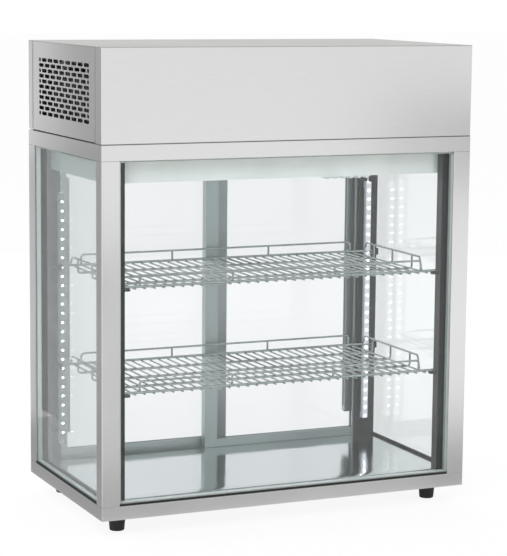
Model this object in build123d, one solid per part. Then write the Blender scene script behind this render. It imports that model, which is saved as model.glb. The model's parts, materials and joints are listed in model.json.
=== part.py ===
from build123d import *
import os

# Refrigerated countertop display case, glazed on three sides, with two sliding doors at the rear.
# Millimetres. +Z is up, the front faces -Y, and the origin is under the middle of the case,
# on the surface that its feet stand on.

# Case
case_width = 686.0
case_depth = 383.0
foot_height = 30.0
base_rail_height = 23.0
window_height = 577.0
top_rail_height = 26.0
header_height = 159.0
sheet = 1.2
edge_radius = 0.8

# Corner posts and frame rails
post_width = 32.0
front_post_depth = 27.0
rear_post_depth = 32.0
post_wall = 2.0
rear_rail_depth = 65.0

# Insulating glass units
glass_inset = 1.5
glass_lap = 7.0
glass_lift = 3.0
sill_bead_height = 4.0
pane_thickness = 4.0
pane_gap = 8.0
spacer_width = 8.0
gasket_thickness = 2.0
floor_seal_size = 4.0

# Interior trims
trim_reach_x = 46.0
trim_reach_y = 36.0
jamb_front_offset = 318.0
jamb_lip_thickness = 2.5
left_lip_reach = 42.0
right_lip_reach = 58.0
floor_rise = 7.0
floor_lip_radius = 5.0
base_plate_thickness = 1.5
base_plate_ledge = 10.0

# Sliding doors and their tracks
inner_door_offset = 322.0
door_thickness = 16.0
door_gap = 4.0
door_width = 331.0
door_height = 564.0
outer_door_edge = 37.0
stile_width = 25.0
door_rail_height = 20.0
door_glass_thickness = 8.0
glass_bite = 6.0
track_fin_thickness = 1.6
track_web = 2.0
track_recess = 3.0
door_bottom_clearance = 4.0
top_fin_height = 20.0
glide_length = 40.0
glide_side_clearance = 0.15
glide_end_inset = 30.0
glide_running_gap = 0.2
top_guide_height = 3.0
jamb_seal_margin = 2.0
jamb_seal_gap = 0.3
pull_width = 6.0
pull_depth = 11.0
pull_bottom = 74.0
pull_length = 466.0
pull_flange = 2.0
pull_stile_gap = 4.0
pull_stile_overlap = 6.0
pull_groove = 3.0
pull_end_radius = 6.5

# Feet
foot_top_diameter = 30.6
foot_bottom_diameter = 25.0
foot_inset_x = 45.0
foot_inset_y = 50.5
foot_edge_radius = 1.5

# Evaporator cover under the ceiling
cover_drop = 40.0
cover_front_offset = 36.0
cover_side_offset = 25.0
cover_notch_x = 52.0
cover_notch_y = 3.0
cover_rear_offset = 316.0
cover_sheet = 1.0
louvre_count = 6
louvre_pitch = 15.0
louvre_drop = 6.0
louvre_length = 30.0
louvre_right_x = 172.0
louvre_front_gap = 12.0
guard_bar_count = 7
guard_bar_pitch = 11.0
guard_bar_width = 2.4

# LED light bars
led_count = 26
led_pitch = 16.67
led_size = 5.0
led_proud = 1.0
led_bar_width = 11.0
led_bar_thickness = 9.0
led_bar_length = 454.0
led_bar_bottom = 65.0
led_bar_offset = 41.5
led_standoff = 2.0
led_standoff_length = 12.0
led_wire_radius = 1.0
led_first_above_end = 21.0

# Wire shelves
upper_shelf_level = 388.0
lower_shelf_level = 209.0
edge_wire_diameter = 4.5
fine_wire_diameter = 3.0
fence_wire_diameter = 3.6
weld_bite = 0.4
fine_wire_pitch = 17.2
fine_wire_end_gap = 15.0
front_edge_offset = 28.0
rear_edge_offset = 310.5
edge_wire_inset = 50.0
fine_wire_stub = 3.0
bearer_offsets = (109.0, 184.0, 258.0)
side_fence_inset = 54.0
side_fence_front = 80.0
side_fence_rear = 288.0
side_fence_slope = 8.0
side_hook_offset = 301.0
side_hook_inset = 27.0
fence_height = 18.0
fence_bend_radius = 6.0
long_fence_inset = 78.0
long_fence_support_x = 96.0
front_fence_gap = 0.1
shelf_lift_gap = 0.3
bracket_thickness = 4.0
bracket_width = 9.0
rear_bracket_depth = 22.0
front_bracket_reach = 12.0
bracket_tip_thickness = 4.0
bracket_tip_height = 12.0

# Header
header_sheet_inset = 1.0
front_return = 29.6
rear_return = 22.4
panel_joint = 0.6
side_panel_gap = 2.5
rear_cover_gap = 3.6
header_bend_radius = 2.0
deck_flange = 20.0
roof_flange = 12.0

# Vent slots in the header sides and the rear cover
slot_length = 26.6
slot_width = 6.6
slot_pitch_along = 31.4
slot_pitch_up = 9.3
slot_rows = 11
full_slots = 8
slot_front_offset = 62.6
slot_bottom = 656.6
rear_slot_rows = 8
rear_slots_each = 7
rear_vent_centre_x = 120.0
rear_vent_bottom = 678.0

# Recessed control panel in the rear cover
pocket_width = 250.0
pocket_height = 56.0
pocket_depth = 12.0
pocket_centre_x = -150.0
pocket_centre_z = 755.0

# Temperature controller
controller_width = 76.0
controller_height = 34.0
controller_bezel = 5.0
controller_body_width = 70.0
controller_body_height = 28.0
controller_body_depth = 45.0
controller_x = -200.0
display_width = 32.0
display_height = 15.0
display_recess = 0.6
display_shift = 15.0
button_width = 7.0
button_height = 5.0
button_length = 4.0
button_proud = 1.2
button_clearance = 0.2
button_hole_depth = 4.5
button_pitch_x = 11.0
button_pitch_z = 9.0
button_shift = 22.0

# Rocker switches
switch_width = 22.0
switch_height = 30.0
switch_bezel = 2.0
switch_body_depth = 26.0
switch_rim = 1.0
switch_wall = 1.8
rocker_radius = 12.4
rocker_side_clearance = 0.3
rocker_pivot_depth = 4.0
rocker_rise = 6.5
rocker_dip = 4.5
rocker_back = 3.0
rocker_tilt = 8.0
rocker_pin_radius = 1.5
rocker_pin_length = 1.2
pin_clearance = 0.05
light_switch_x = -120.0
power_switch_x = -88.0
rocker_well_depth = 12.0

# Cable gland
gland_x = -52.0
gland_hex_across = 22.0
gland_hex_depth = 5.0
gland_dome_radius = 9.0
gland_dome_depth = 5.5
gland_bore_radius = 4.0
gland_thread_radius = 8.0
gland_thread_depth = 14.0
gland_nut_depth = 4.0

# Compressor
compressor_inset = 153.0
compressor_offset = 201.5
compressor_radius = 60.0
compressor_seam_radius = 64.0
compressor_seam_height = 4.0
compressor_shell_height = 112.0
compressor_dome_radius = 28.0
compressor_base_width = 170.0
compressor_base_depth = 120.0
compressor_base_thickness = 2.5
compressor_foot_inset = 14.0
grommet_height = 12.0
grommet_radius = 9.0
grommet_neck_radius = 5.0
terminal_width = 40.0
terminal_depth = 22.0
terminal_height = 34.0

# Heat exchangers
coil_tube_radius = 4.0
coil_tube_spacing = 25.0
coil_fin_thickness = 0.8
coil_bend_stub = 4.0
condenser_length = 240.0
condenser_fin_pitch = 8.0
condenser_height = 110.0
condenser_depth = 50.0
condenser_x = -296.0
condenser_front_offset = 72.0
evaporator_length = 300.0
evaporator_fin_pitch = 10.0
evaporator_height = 28.0
evaporator_depth = 110.0
evaporator_x = -120.0
evaporator_front_offset = 110.0

# Fans
fan_blade_count = 5
fan_hub_radius = 16.0
fan_shaft_radius = 3.0
fan_shaft_clearance = 0.05
fan_shaft_engagement = 8.0
fan_axial_gap = 0.5
fan_blade_pitch = 28.0
fan_blade_thickness = 1.6
fan_blade_chord = 30.0
condenser_fan_radius = 52.0
condenser_fan_depth = 16.0
condenser_fan_x = -238.0
condenser_motor_radius = 24.0
condenser_motor_length = 36.0
condenser_fan_z = 722.0
evaporator_fan_radius = 48.0
evaporator_fan_depth = 12.0
evaporator_fan_x = 127.0
evaporator_fan_offset = 165.0
evaporator_motor_radius = 28.0
evaporator_hub_drop = 12.0
motor_strap = 2.0

# Refrigerant lines
line_radius = 3.0
line_bend = 14.0
line_front_gap = 28.0
capillary_radius = 1.5
capillary_bend = 4.0
capillary_rise = 9.0
capillary_shift = 5.0
capillary_step = 17.0
suction_radius = 4.0
suction_shift = -4.0
suction_height = 28.3
discharge_height = 84.0
drier_radius = 9.0
drier_length = 90.0
drier_run = 60.0
line_hole_radius = 11.0
line_hole_x = 64.0
line_hole_offset = 290.0

# Screws
screw_head_radius = 3.6
screw_head_height = 1.0
screw_radius = 1.8
screw_length = 7.0
screw_hole_clearance = 0.1
rear_screw_rows = (668.0, 805.0)
rear_screw_columns = (-330.0, -10.0, 250.0, 330.0)
base_screw_columns = (-200.0, 0.0, 200.0)

# Places worked out from the sizes above
half_width = case_width / 2
half_depth = case_depth / 2
front_y = -half_depth
rear_y = half_depth
rail_top = foot_height + base_rail_height
frame_z = rail_top + window_height
deck_z = frame_z + top_rail_height
roof_z = deck_z + header_height
unit_thickness = 2 * pane_thickness + pane_gap
glass_inner = glass_inset + unit_thickness
floor_top = rail_top + floor_rise
jamb_front = front_y + jamb_front_offset
inner_door_y = front_y + inner_door_offset
outer_door_y = inner_door_y + door_thickness + door_gap
fin_centres = [inner_door_y - door_gap / 2 + i * (door_thickness + door_gap) for i in range(3)]
track_front = fin_centres[0] - track_fin_thickness / 2
track_rear = fin_centres[2] + track_fin_thickness / 2
track_floor = rail_top - track_recess + track_web
door_bottom = track_floor + door_bottom_clearance
door_top = door_bottom + door_height
top_fin_z = frame_z - track_web - top_fin_height
post_inner_x = half_width - post_width
left_door_x = -half_width + outer_door_edge
right_door_x = half_width - outer_door_edge - door_width
ceiling_z = frame_z
cover_z = ceiling_z - cover_drop
header_inner_front = front_y + sheet
header_inner_rear = rear_y - header_sheet_inset - sheet
header_inner_x = half_width - header_sheet_inset - sheet
deck_top = deck_z + sheet
pocket_floor_y = rear_y - header_sheet_inset - pocket_depth
shelf_levels = {"upper": foot_height + upper_shelf_level, "lower": foot_height + lower_shelf_level}
line_hole_y = front_y + line_hole_offset
compressor_x = half_width - compressor_inset
compressor_y = front_y + compressor_offset
edge_wire_reach = half_width - edge_wire_inset
side_fence_x = half_width - side_fence_inset
side_hook_reach = half_width - side_hook_inset
long_fence_reach = half_width - long_fence_inset
fine_wire_count = 2 * int((edge_wire_reach - fine_wire_end_gap) / fine_wire_pitch) + 1


def block(x, y, z):
    """Return a box between the low and high limits on each axis."""
    spans = (x, y, z)
    sizes = [high - low for low, high in spans]
    centre = [(low + high) / 2 for low, high in spans]
    return Pos(*centre) * Box(*sizes)


def mid_block(centre, size):
    """Return a box of a given size about a centre."""
    return Pos(*centre) * Box(*size)


def ring(outer, inner, z):
    """Return a flat rectangular ring between two (x, y) limit pairs."""
    return block(outer[0], outer[1], z) - block(inner[0], inner[1], z)


def rod(start, end, radius):
    """Return a round rod between two points."""
    path = Line(start, end)
    return sweep(path.location_at(0) * Circle(radius), path=path)


def bent_rod(points, radius, bend):
    """Return one round rod along straight runs joined by arcs."""
    path = FilletPolyline(*points, radius=bend)
    return sweep(path.location_at(0) * Circle(radius), path=path)


def mirrored(part):
    """Return the same piece on the other side of the case."""
    return mirror(part, about=Plane.YZ)


def solids_of(part):
    """Return the separate solids of a shape as a list."""
    return list(part.solids())


def joined(parts):
    """Return parts that meet each other as one shape."""
    return Part() + parts


def make_feet():
    """Return four tapered rubber feet."""
    foot = Cone(foot_bottom_diameter / 2, foot_top_diameter / 2, foot_height)
    foot = fillet(foot.edges().sort_by(Axis.Z)[0], foot_edge_radius)
    foot_x = half_width - foot_inset_x
    foot_y = half_depth - foot_inset_y
    return [Pos(x, y, foot_height / 2) * foot for x in (-foot_x, foot_x) for y in (-foot_y, foot_y)]


def make_base_frame():
    """Return the welded base frame with the recess for the door track."""
    frame = ring(
        ((-half_width, half_width), (front_y, rear_y)),
        ((-post_inner_x, post_inner_x), (front_y + front_post_depth, rear_y - rear_rail_depth)),
        (foot_height, rail_top),
    )
    frame = fillet(frame.edges().filter_by(Axis.Z).group_by(SortBy.DISTANCE)[-1], edge_radius)
    track_bed = rail_top - track_recess
    recess = block((-post_inner_x, post_inner_x), (track_front, track_rear), (track_bed, rail_top))
    ledge_x = post_inner_x + base_plate_ledge
    ledge = block(
        (-ledge_x, ledge_x),
        (front_y + front_post_depth - base_plate_ledge, rear_y - rear_rail_depth + base_plate_ledge),
        (foot_height, foot_height + base_plate_thickness),
    )
    frame -= [recess, ledge] + rebates()
    for x, y in base_screw_places():
        frame -= Pos(x, y, foot_height) * pilot_hole(screw_length + screw_head_height)
    return frame


def pilot_hole(reach):
    """Return a cutter for a screw's hole, reaching the same way up and down from the origin."""
    return Cylinder(screw_radius + screw_hole_clearance, 2 * reach)


def base_screw_places():
    """Return the places of the screws through the edge of the bottom plate."""
    front = front_y + front_post_depth - base_plate_ledge / 2
    rear = rear_y - rear_rail_depth + base_plate_ledge / 2
    return [(x, y) for x in base_screw_columns for y in (front, rear)]


def make_bottom_plate():
    """Return the sheet that closes the underside, let into the base frame."""
    ledge_x = post_inner_x + base_plate_ledge
    plate = block(
        (-ledge_x, ledge_x),
        (front_y + front_post_depth - base_plate_ledge, rear_y - rear_rail_depth + base_plate_ledge),
        (foot_height, foot_height + base_plate_thickness),
    )
    for x, y in base_screw_places():
        plate -= Pos(x, y, foot_height) * pilot_hole(2 * base_plate_thickness)
    return plate


def corner_post_blocks():
    """Return the space that the two front posts take, as boxes of the window's height."""
    post = block((-half_width, -post_inner_x), (front_y, front_y + front_post_depth), (rail_top, frame_z))
    return [post, mirrored(post)]


def make_floor_pan():
    """Return the polished floor with its turned-down edges and rounded front lip."""
    floor_x = half_width - glass_inner
    outer = block((-floor_x, floor_x), (front_y + glass_inner, jamb_front), (rail_top, floor_top))
    front_edge = outer.edges().filter_by(Axis.X).group_by(Axis.Z)[-1].sort_by(Axis.Y)[0]
    outer = fillet(front_edge, floor_lip_radius)
    inner = block(
        (-floor_x + sheet, floor_x - sheet),
        (front_y + glass_inner + floor_lip_radius, jamb_front - sheet),
        (rail_top, floor_top - sheet),
    )
    pan = outer - inner
    for post in corner_post_blocks():
        pan -= post
    return pan


def make_insulation():
    """Return the foam slabs in the base and in the ceiling."""
    floor_x = half_width - glass_inner - sheet
    hole_z = ceiling_z + top_rail_height / 2
    hole = Pos(line_hole_x, line_hole_y, hole_z) * Cylinder(line_hole_radius, top_rail_height)
    base = block(
        (-post_inner_x, post_inner_x),
        (front_y + front_post_depth, rear_y - rear_rail_depth),
        (foot_height + base_plate_thickness, rail_top),
    )
    base += block(
        (-floor_x, floor_x),
        (front_y + glass_inner + floor_lip_radius, jamb_front - sheet),
        (rail_top, floor_top - sheet),
    )
    for post in corner_post_blocks():
        base -= post
    ceiling = block(
        (-post_inner_x, post_inner_x),
        (front_y + front_post_depth, rear_y - rear_rail_depth),
        (ceiling_z, deck_z),
    )
    return solids_of(base) + solids_of(ceiling - hole)


def rebates():
    """Return the cutters of the three rebates that the glass units sit in."""
    side = glazing_block("side", 0, glass_inset, glass_inner)
    return [glazing_block("front", 0, glass_inset, glass_inner), side, mirrored(side)]


def make_post(y, core_x, core_y):
    """Return a left-hand corner post of the window's height with its hollow core."""
    post = block((-half_width, -post_inner_x), y, (rail_top, frame_z))
    post = fillet(post.edges().filter_by(Axis.Z), edge_radius)
    return post - block(core_x, core_y, (rail_top, frame_z)) - rebates()


def make_front_post():
    """Return the left front post, which two glass units lap into."""
    core_x = (-half_width + post_wall, -post_inner_x - glass_lap - post_wall)
    core_y = (front_y + post_wall, front_y + front_post_depth - glass_lap - post_wall)
    return make_post((front_y, front_y + front_post_depth), core_x, core_y)


def make_rear_post():
    """Return the left rear post, which the side glass unit laps into."""
    core_x = (-half_width + post_wall, -post_inner_x - post_wall)
    core_y = (rear_y - rear_post_depth + glass_lap + post_wall, rear_y - post_wall)
    return make_post((rear_y - rear_post_depth, rear_y), core_x, core_y)


def make_top_frame():
    """Return the ring of rails above the glass."""
    frame = ring(
        ((-half_width, half_width), (front_y, rear_y)),
        ((-post_inner_x, post_inner_x), (front_y + front_post_depth, rear_y - rear_rail_depth)),
        (frame_z, deck_z),
    )
    return fillet(frame.edges().filter_by(Axis.Z).group_by(SortBy.DISTANCE)[-1], edge_radius) - rebates()


def window_limits(side):
    """Return the limits along the glass of the front unit or of a side unit."""
    if side == "front":
        return (-post_inner_x, post_inner_x)
    return (front_y + front_post_depth, rear_y - rear_post_depth)


def glazing_block(side, inset, near, far, lift=0):
    """Return a slab in a window's rebate, inset from it, between two depths from the outer face."""
    low, high = window_limits(side)
    along = (low - glass_lap + inset, high + glass_lap - inset)
    up = (rail_top - glass_lap + inset + lift, frame_z + glass_lap - inset)
    if side == "front":
        return block(along, (front_y + near, front_y + far), up)
    return block((-half_width + near, -half_width + far), along, up)


def make_panes(side):
    """Return the outer and the inner pane of a glass unit."""
    outer_end = glass_inset + pane_thickness
    inner_start = outer_end + pane_gap
    outer = glazing_block(side, gasket_thickness, glass_inset, outer_end, glass_lift)
    inner = glazing_block(side, gasket_thickness, inner_start, glass_inner, glass_lift)
    return [outer, inner]


def make_spacer(side):
    """Return the aluminium spacer frame between the panes of a glass unit."""
    near = glass_inset + pane_thickness
    far = near + pane_gap
    outside = glazing_block(side, gasket_thickness, near, far, glass_lift)
    return outside - glazing_block(side, gasket_thickness + spacer_width, near, far, glass_lift)


def make_gasket(side):
    """Return the rubber frame round the edges of a glass unit."""
    outside = glazing_block(side, 0, glass_inset, glass_inner)
    return outside - glazing_block(side, gasket_thickness, glass_inset, glass_inner, glass_lift)


def make_sill_bead(side):
    """Return the rubber bead along the bottom of a window, in the step in front of the glass."""
    up = (rail_top, rail_top + sill_bead_height)
    if side == "front":
        return block(window_limits(side), (front_y, front_y + glass_inset), up)
    return block((-half_width, -half_width + glass_inset), window_limits(side), up)


def make_seals():
    """Return every rubber strip: round the glass, on the floor, at the jambs and under the header."""
    seals = [make_gasket("front"), make_gasket("side"), mirrored(make_gasket("side"))]
    seals += [make_sill_bead("front"), make_sill_bead("side"), mirrored(make_sill_bead("side"))]
    side_x = half_width - glass_inner
    strip = block(
        (-side_x, -side_x + floor_seal_size),
        (front_y + trim_reach_y, jamb_front),
        (floor_top, floor_top + floor_seal_size),
    )
    seals += [strip, mirrored(strip)]
    jamb_z = (floor_top, top_fin_z)
    seals.append(block(
        (-post_inner_x, left_door_x - jamb_seal_gap),
        (outer_door_y + jamb_seal_margin, outer_door_y + door_thickness - jamb_seal_margin),
        jamb_z,
    ))
    seals.append(block(
        (right_door_x + door_width + jamb_seal_gap, post_inner_x),
        (inner_door_y + jamb_seal_margin, inner_door_y + door_thickness - jamb_seal_margin),
        jamb_z,
    ))
    band = block(
        (-header_inner_x - header_sheet_inset, -header_inner_x),
        (front_y + front_return, rear_y - rear_return),
        (deck_z, deck_z + side_panel_gap),
    )
    seals += [band, mirrored(band)]
    seals.append(block(
        (-half_width + header_bend_radius, half_width - header_bend_radius),
        (front_y + panel_joint, header_inner_front),
        (deck_z, deck_z + panel_joint),
    ))
    return seals


def make_front_trim():
    """Return the L-shaped trim inside the left front corner."""
    side_x = half_width - glass_inner
    trim = block(
        (-side_x, -half_width + trim_reach_x),
        (front_y + glass_inner, front_y + trim_reach_y),
        (floor_top, ceiling_z),
    )
    return trim - corner_post_blocks()[0]


def make_jamb(lip_reach):
    """Return a left-hand rear jamb: a bar beside the glass and a lip in front of the doors."""
    side_x = half_width - glass_inner
    bar = block(
        (-side_x, -post_inner_x),
        (jamb_front, rear_y - rear_post_depth),
        (rail_top, ceiling_z),
    )
    lip = block(
        (-side_x, -half_width + lip_reach),
        (jamb_front, jamb_front + jamb_lip_thickness),
        (floor_top, top_fin_z),
    )
    return bar + lip


def make_track(web_z, fin_z):
    """Return a double door track: a web and three fins."""
    track_x = (-post_inner_x, post_inner_x)
    track = block(track_x, (track_front, track_rear), web_z)
    for centre in fin_centres:
        track += block(track_x, (centre - track_fin_thickness / 2, centre + track_fin_thickness / 2), fin_z)
    return track


def door_bar(points, y, glass):
    """Return one mitred bar of a door frame, grooved for the glass."""
    face = Plane.XZ * make_face(Polyline(*points, close=True))
    return Pos(0, y + door_thickness, 0) * extrude(face, door_thickness) - glass


def make_door(x, y):
    """Return a door's four frame bars and its glass."""
    left, right = x, x + door_width
    low, high = door_bottom, door_top
    glass_y = y + (door_thickness - door_glass_thickness) / 2
    glass = block(
        (left + stile_width - glass_bite, right - stile_width + glass_bite),
        (glass_y, glass_y + door_glass_thickness),
        (low + door_rail_height - glass_bite, high - door_rail_height + glass_bite),
    )
    outer = [(left, low), (right, low), (right, high), (left, high)]
    inner = [
        (left + stile_width, low + door_rail_height),
        (right - stile_width, low + door_rail_height),
        (right - stile_width, high - door_rail_height),
        (left + stile_width, high - door_rail_height),
    ]
    bars = []
    for i in range(4):
        following = (i + 1) % 4
        corners = [outer[i], outer[following], inner[following], inner[i]]
        bars.append(door_bar(corners, y, glass))
    return bars, glass


def make_pull(grip_x, stile_side, rear_face):
    """Return a door pull: a grooved grip bar and the flange that is screwed to the stile."""
    z = (foot_height + pull_bottom, foot_height + pull_bottom + pull_length)
    grip = block((grip_x, grip_x + pull_width), (rear_face, rear_face + pull_depth), z)
    ends = grip.edges().filter_by(Axis.X).group_by(Axis.Y)[-1]
    grip = fillet(ends, pull_end_radius)
    reach = pull_stile_gap + pull_stile_overlap
    flange_x = (grip_x + pull_width, grip_x + pull_width + reach)
    groove_x = (grip_x, grip_x + pull_groove)
    if stile_side < 0:
        flange_x = (grip_x - reach, grip_x)
        groove_x = (grip_x + pull_width - pull_groove, grip_x + pull_width)
    flange = block(flange_x, (rear_face, rear_face + pull_flange), z)
    groove = block(
        groove_x,
        (rear_face + pull_groove, rear_face + pull_depth - pull_groove),
        (z[0] + pull_depth, z[1] - pull_depth),
    )
    return grip + flange - groove


def make_glides(x, y):
    """Return a door's two bottom glides and two top guides."""
    channel = door_thickness + door_gap - track_fin_thickness
    width = channel - 2 * glide_side_clearance
    centre = y + door_thickness / 2
    span_y = (centre - width / 2, centre + width / 2)
    pieces = []
    for start in (x + glide_end_inset, x + door_width - glide_end_inset - glide_length):
        span_x = (start, start + glide_length)
        pieces.append(block(span_x, span_y, (track_floor + glide_running_gap, door_bottom)))
        pieces.append(block(span_x, span_y, (door_top, door_top + top_guide_height)))
    return pieces


def slot_sketch(length):
    """Return one round-ended vent slot of a given length."""
    return SlotOverall(length, slot_width)


def vented(panel, plane, slots, thickness):
    """Cut vent slots through a panel. Each slot is (along, up, length) on the plane."""
    cutters = []
    for along, up, length in slots:
        face = plane * Pos(along, up) * slot_sketch(length)
        cutters.append(extrude(face, thickness, both=True))
    return panel - cutters


def side_slots():
    """Return the brick pattern of slots in a header side, measured from the front and from below."""
    slots = []
    short = slot_length - slot_pitch_along / 2
    span = full_slots * slot_pitch_along + short
    for row in range(slot_rows):
        up = foot_height + slot_bottom + slot_width / 2 + row * slot_pitch_up
        whole = slot_length / 2 if row % 2 == 0 else slot_length / 2 + slot_pitch_along / 2
        part = span - short / 2 if row % 2 == 0 else short / 2
        for i in range(full_slots):
            slots.append((slot_front_offset + whole + i * slot_pitch_along, up, slot_length))
        slots.append((slot_front_offset + part, up, short))
    return slots


def make_side_panel():
    """Return the left side panel of the header with its vent slots."""
    x = (-half_width + header_sheet_inset, -header_inner_x)
    y = (front_y + front_return + panel_joint, rear_y - rear_return - panel_joint)
    panel = block(x, y, (deck_z + side_panel_gap, roof_z - sheet))
    plane = Plane(origin=(x[0], front_y, 0), x_dir=(0, 1, 0), z_dir=(1, 0, 0))
    return vented(panel, plane, side_slots(), 2 * sheet)


def make_header_front():
    """Return the header's front cover with its two side returns."""
    z = (deck_z + panel_joint, roof_z - sheet)
    outer = block((-half_width, half_width), (front_y, front_y + front_return), z)
    corners = outer.edges().filter_by(Axis.Z).group_by(Axis.Y)[0]
    outer = fillet(corners, header_bend_radius)
    inner_x = half_width - sheet
    inner = block((-inner_x, inner_x), (front_y + sheet, front_y + front_return), z)
    return outer - inner


def make_rear_cover():
    """Return the rear cover with side returns, vent slots and the recessed control panel."""
    face_y = rear_y - header_sheet_inset
    z = (deck_z + rear_cover_gap, roof_z - sheet)
    outer = block((-half_width, half_width), (rear_y - rear_return, face_y), z)
    corners = outer.edges().filter_by(Axis.Z).group_by(Axis.Y)[-1]
    outer = fillet(corners, header_bend_radius)
    inner_x = half_width - sheet
    inner = block((-inner_x, inner_x), (rear_y - rear_return, face_y - sheet), z)
    cover = outer - inner
    centre_y = face_y - pocket_depth / 2
    tray_centre = (pocket_centre_x, centre_y - sheet / 2, pocket_centre_z)
    tray_size = (pocket_width + 2 * sheet, pocket_depth + sheet, pocket_height + 2 * sheet)
    cover += mid_block(tray_centre, tray_size)
    pocket_size = (pocket_width, pocket_depth, pocket_height)
    cover -= mid_block((pocket_centre_x, centre_y, pocket_centre_z), pocket_size)
    cut_y = pocket_floor_y
    controller_size = (controller_body_width, 4 * sheet, controller_body_height)
    cover -= mid_block((controller_x, cut_y, pocket_centre_z), controller_size)
    for x in (light_switch_x, power_switch_x):
        size = (switch_width - 2 * switch_rim, 4 * sheet, switch_height - 2 * switch_rim)
        cover -= mid_block((x, cut_y, pocket_centre_z), size)
    cover -= Pos(gland_x, cut_y, pocket_centre_z) * Rot(90, 0, 0) * Cylinder(gland_thread_radius, 4 * sheet)
    slots = []
    for row in range(rear_slot_rows):
        up = rear_vent_bottom + row * slot_pitch_up
        for i in range(rear_slots_each):
            along = rear_vent_centre_x + (i - (rear_slots_each - 1) / 2) * slot_pitch_along
            slots.append((along, up, slot_length))
    plane = Plane(origin=(0, face_y, 0), x_dir=(1, 0, 0), z_dir=(0, -1, 0))
    cover = vented(cover, plane, slots, 2 * sheet)
    for x in rear_screw_columns:
        for z_screw in rear_screw_rows:
            cover -= Pos(x, face_y, z_screw) * Rot(90, 0, 0) * pilot_hole(2 * sheet)
    return cover


def make_roof():
    """Return the header's top panel with its turned-down flange inside the covers."""
    y_limits = (front_y, rear_y - header_sheet_inset)
    plate = block((-half_width, half_width), y_limits, (roof_z - sheet, roof_z))
    plate = fillet(plate.edges().filter_by(Axis.Z), header_bend_radius)
    plate = fillet(plate.edges().group_by(Axis.Z)[-1], sheet / 2)
    side = header_inner_x - 2 * sheet
    y = (header_inner_front + 2 * sheet, header_inner_rear - pocket_depth - 4 * sheet)
    outside = ((-side, side), y)
    inside = ((-side + sheet, side - sheet), (y[0] + sheet, y[1] - sheet))
    return plate + ring(outside, inside, (roof_z - sheet - roof_flange, roof_z - sheet))


def make_deck():
    """Return the tray that carries the machinery, with the hole for the refrigerant lines."""
    x = (-header_inner_x, header_inner_x)
    y = (header_inner_front, header_inner_rear)
    plate = block(x, y, (deck_z, deck_top))
    inside = ((x[0] + sheet, x[1] - sheet), (y[0] + sheet, y[1] - sheet))
    deck = plate + ring((x, y), inside, (deck_z, deck_top + deck_flange))
    hole = Pos(line_hole_x, line_hole_y, deck_z) * Cylinder(line_hole_radius, 4 * sheet)
    deck -= hole
    for screw_x in rear_screw_columns:
        deck -= Pos(screw_x, header_inner_rear, rear_screw_rows[0]) * Rot(90, 0, 0) * pilot_hole(2 * sheet)
    return deck


def make_evaporator_cover():
    """Return the pan under the ceiling with its air slots and the louvres near its front."""
    side_x = half_width - cover_side_offset
    notch_x = half_width - cover_notch_x
    y_front = front_y + cover_front_offset
    y_notch = y_front + cover_notch_y
    y_rear = front_y + cover_rear_offset
    outline = [
        (-notch_x, y_front), (notch_x, y_front), (notch_x, y_notch), (side_x, y_notch),
        (side_x, y_rear), (-side_x, y_rear), (-side_x, y_notch), (-notch_x, y_notch),
    ]
    face = make_face(Polyline(*outline, close=True))
    body = Pos(0, 0, cover_z) * extrude(face, cover_drop)
    inside = offset(face, -cover_sheet, kind=Kind.INTERSECTION)
    pan = body - Pos(0, 0, cover_z + cover_sheet) * extrude(inside, cover_drop)
    fan_y = front_y + evaporator_fan_offset
    pan -= Pos(evaporator_fan_x, fan_y, cover_z) * Cylinder(evaporator_fan_radius, 4 * cover_sheet)
    guard_x = (evaporator_fan_x - evaporator_fan_radius, evaporator_fan_x + evaporator_fan_radius)
    for i in range(guard_bar_count):
        bar_y = fan_y + (i - (guard_bar_count - 1) / 2) * guard_bar_pitch
        bar_limits = (bar_y - guard_bar_width / 2, bar_y + guard_bar_width / 2)
        pan += block(guard_x, bar_limits, (cover_z, cover_z + cover_sheet))
    for i in range(louvre_count):
        right = louvre_right_x - i * louvre_pitch
        tip = (right - louvre_pitch / 2, cover_z - louvre_drop)
        points = [(right - louvre_pitch, cover_z), (right, cover_z), tip]
        wedge = extrude(Plane.XZ * make_face(Polyline(*points, close=True)), louvre_length)
        pan += Pos(0, y_front + louvre_front_gap + louvre_length, 0) * wedge
    return pan


def make_led_bar(side):
    """Return a light bar with its row of chips, its stand-offs and the wire to the ceiling."""
    centre_x = side * (half_width - led_bar_offset)
    x = (centre_x - led_bar_width / 2, centre_x + led_bar_width / 2)
    rear = jamb_front - led_standoff
    front = rear - led_bar_thickness
    z = (foot_height + led_bar_bottom, foot_height + led_bar_bottom + led_bar_length)
    bar = block(x, (front, rear), z)
    bar = fillet(bar.edges().filter_by(Axis.Z), edge_radius)
    lip = left_lip_reach if side < 0 else right_lip_reach
    lip_edge = side * (half_width - lip)
    pad_x = (x[0], min(x[1], lip_edge)) if side < 0 else (max(x[0], lip_edge), x[1])
    for pad_z in (z[0], z[1] - led_standoff_length):
        bar += block(pad_x, (rear, jamb_front), (pad_z, pad_z + led_standoff_length))
    for i in range(led_count):
        chip_z = z[0] + led_first_above_end + i * led_pitch
        bar += block(
            (centre_x - led_size / 2, centre_x + led_size / 2),
            (front - led_proud, front),
            (chip_z - led_size / 2, chip_z + led_size / 2),
        )
    wire_y = (front + rear) / 2
    bar += rod((centre_x, wire_y, z[1]), (centre_x, wire_y, cover_z), led_wire_radius)
    return bar


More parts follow.
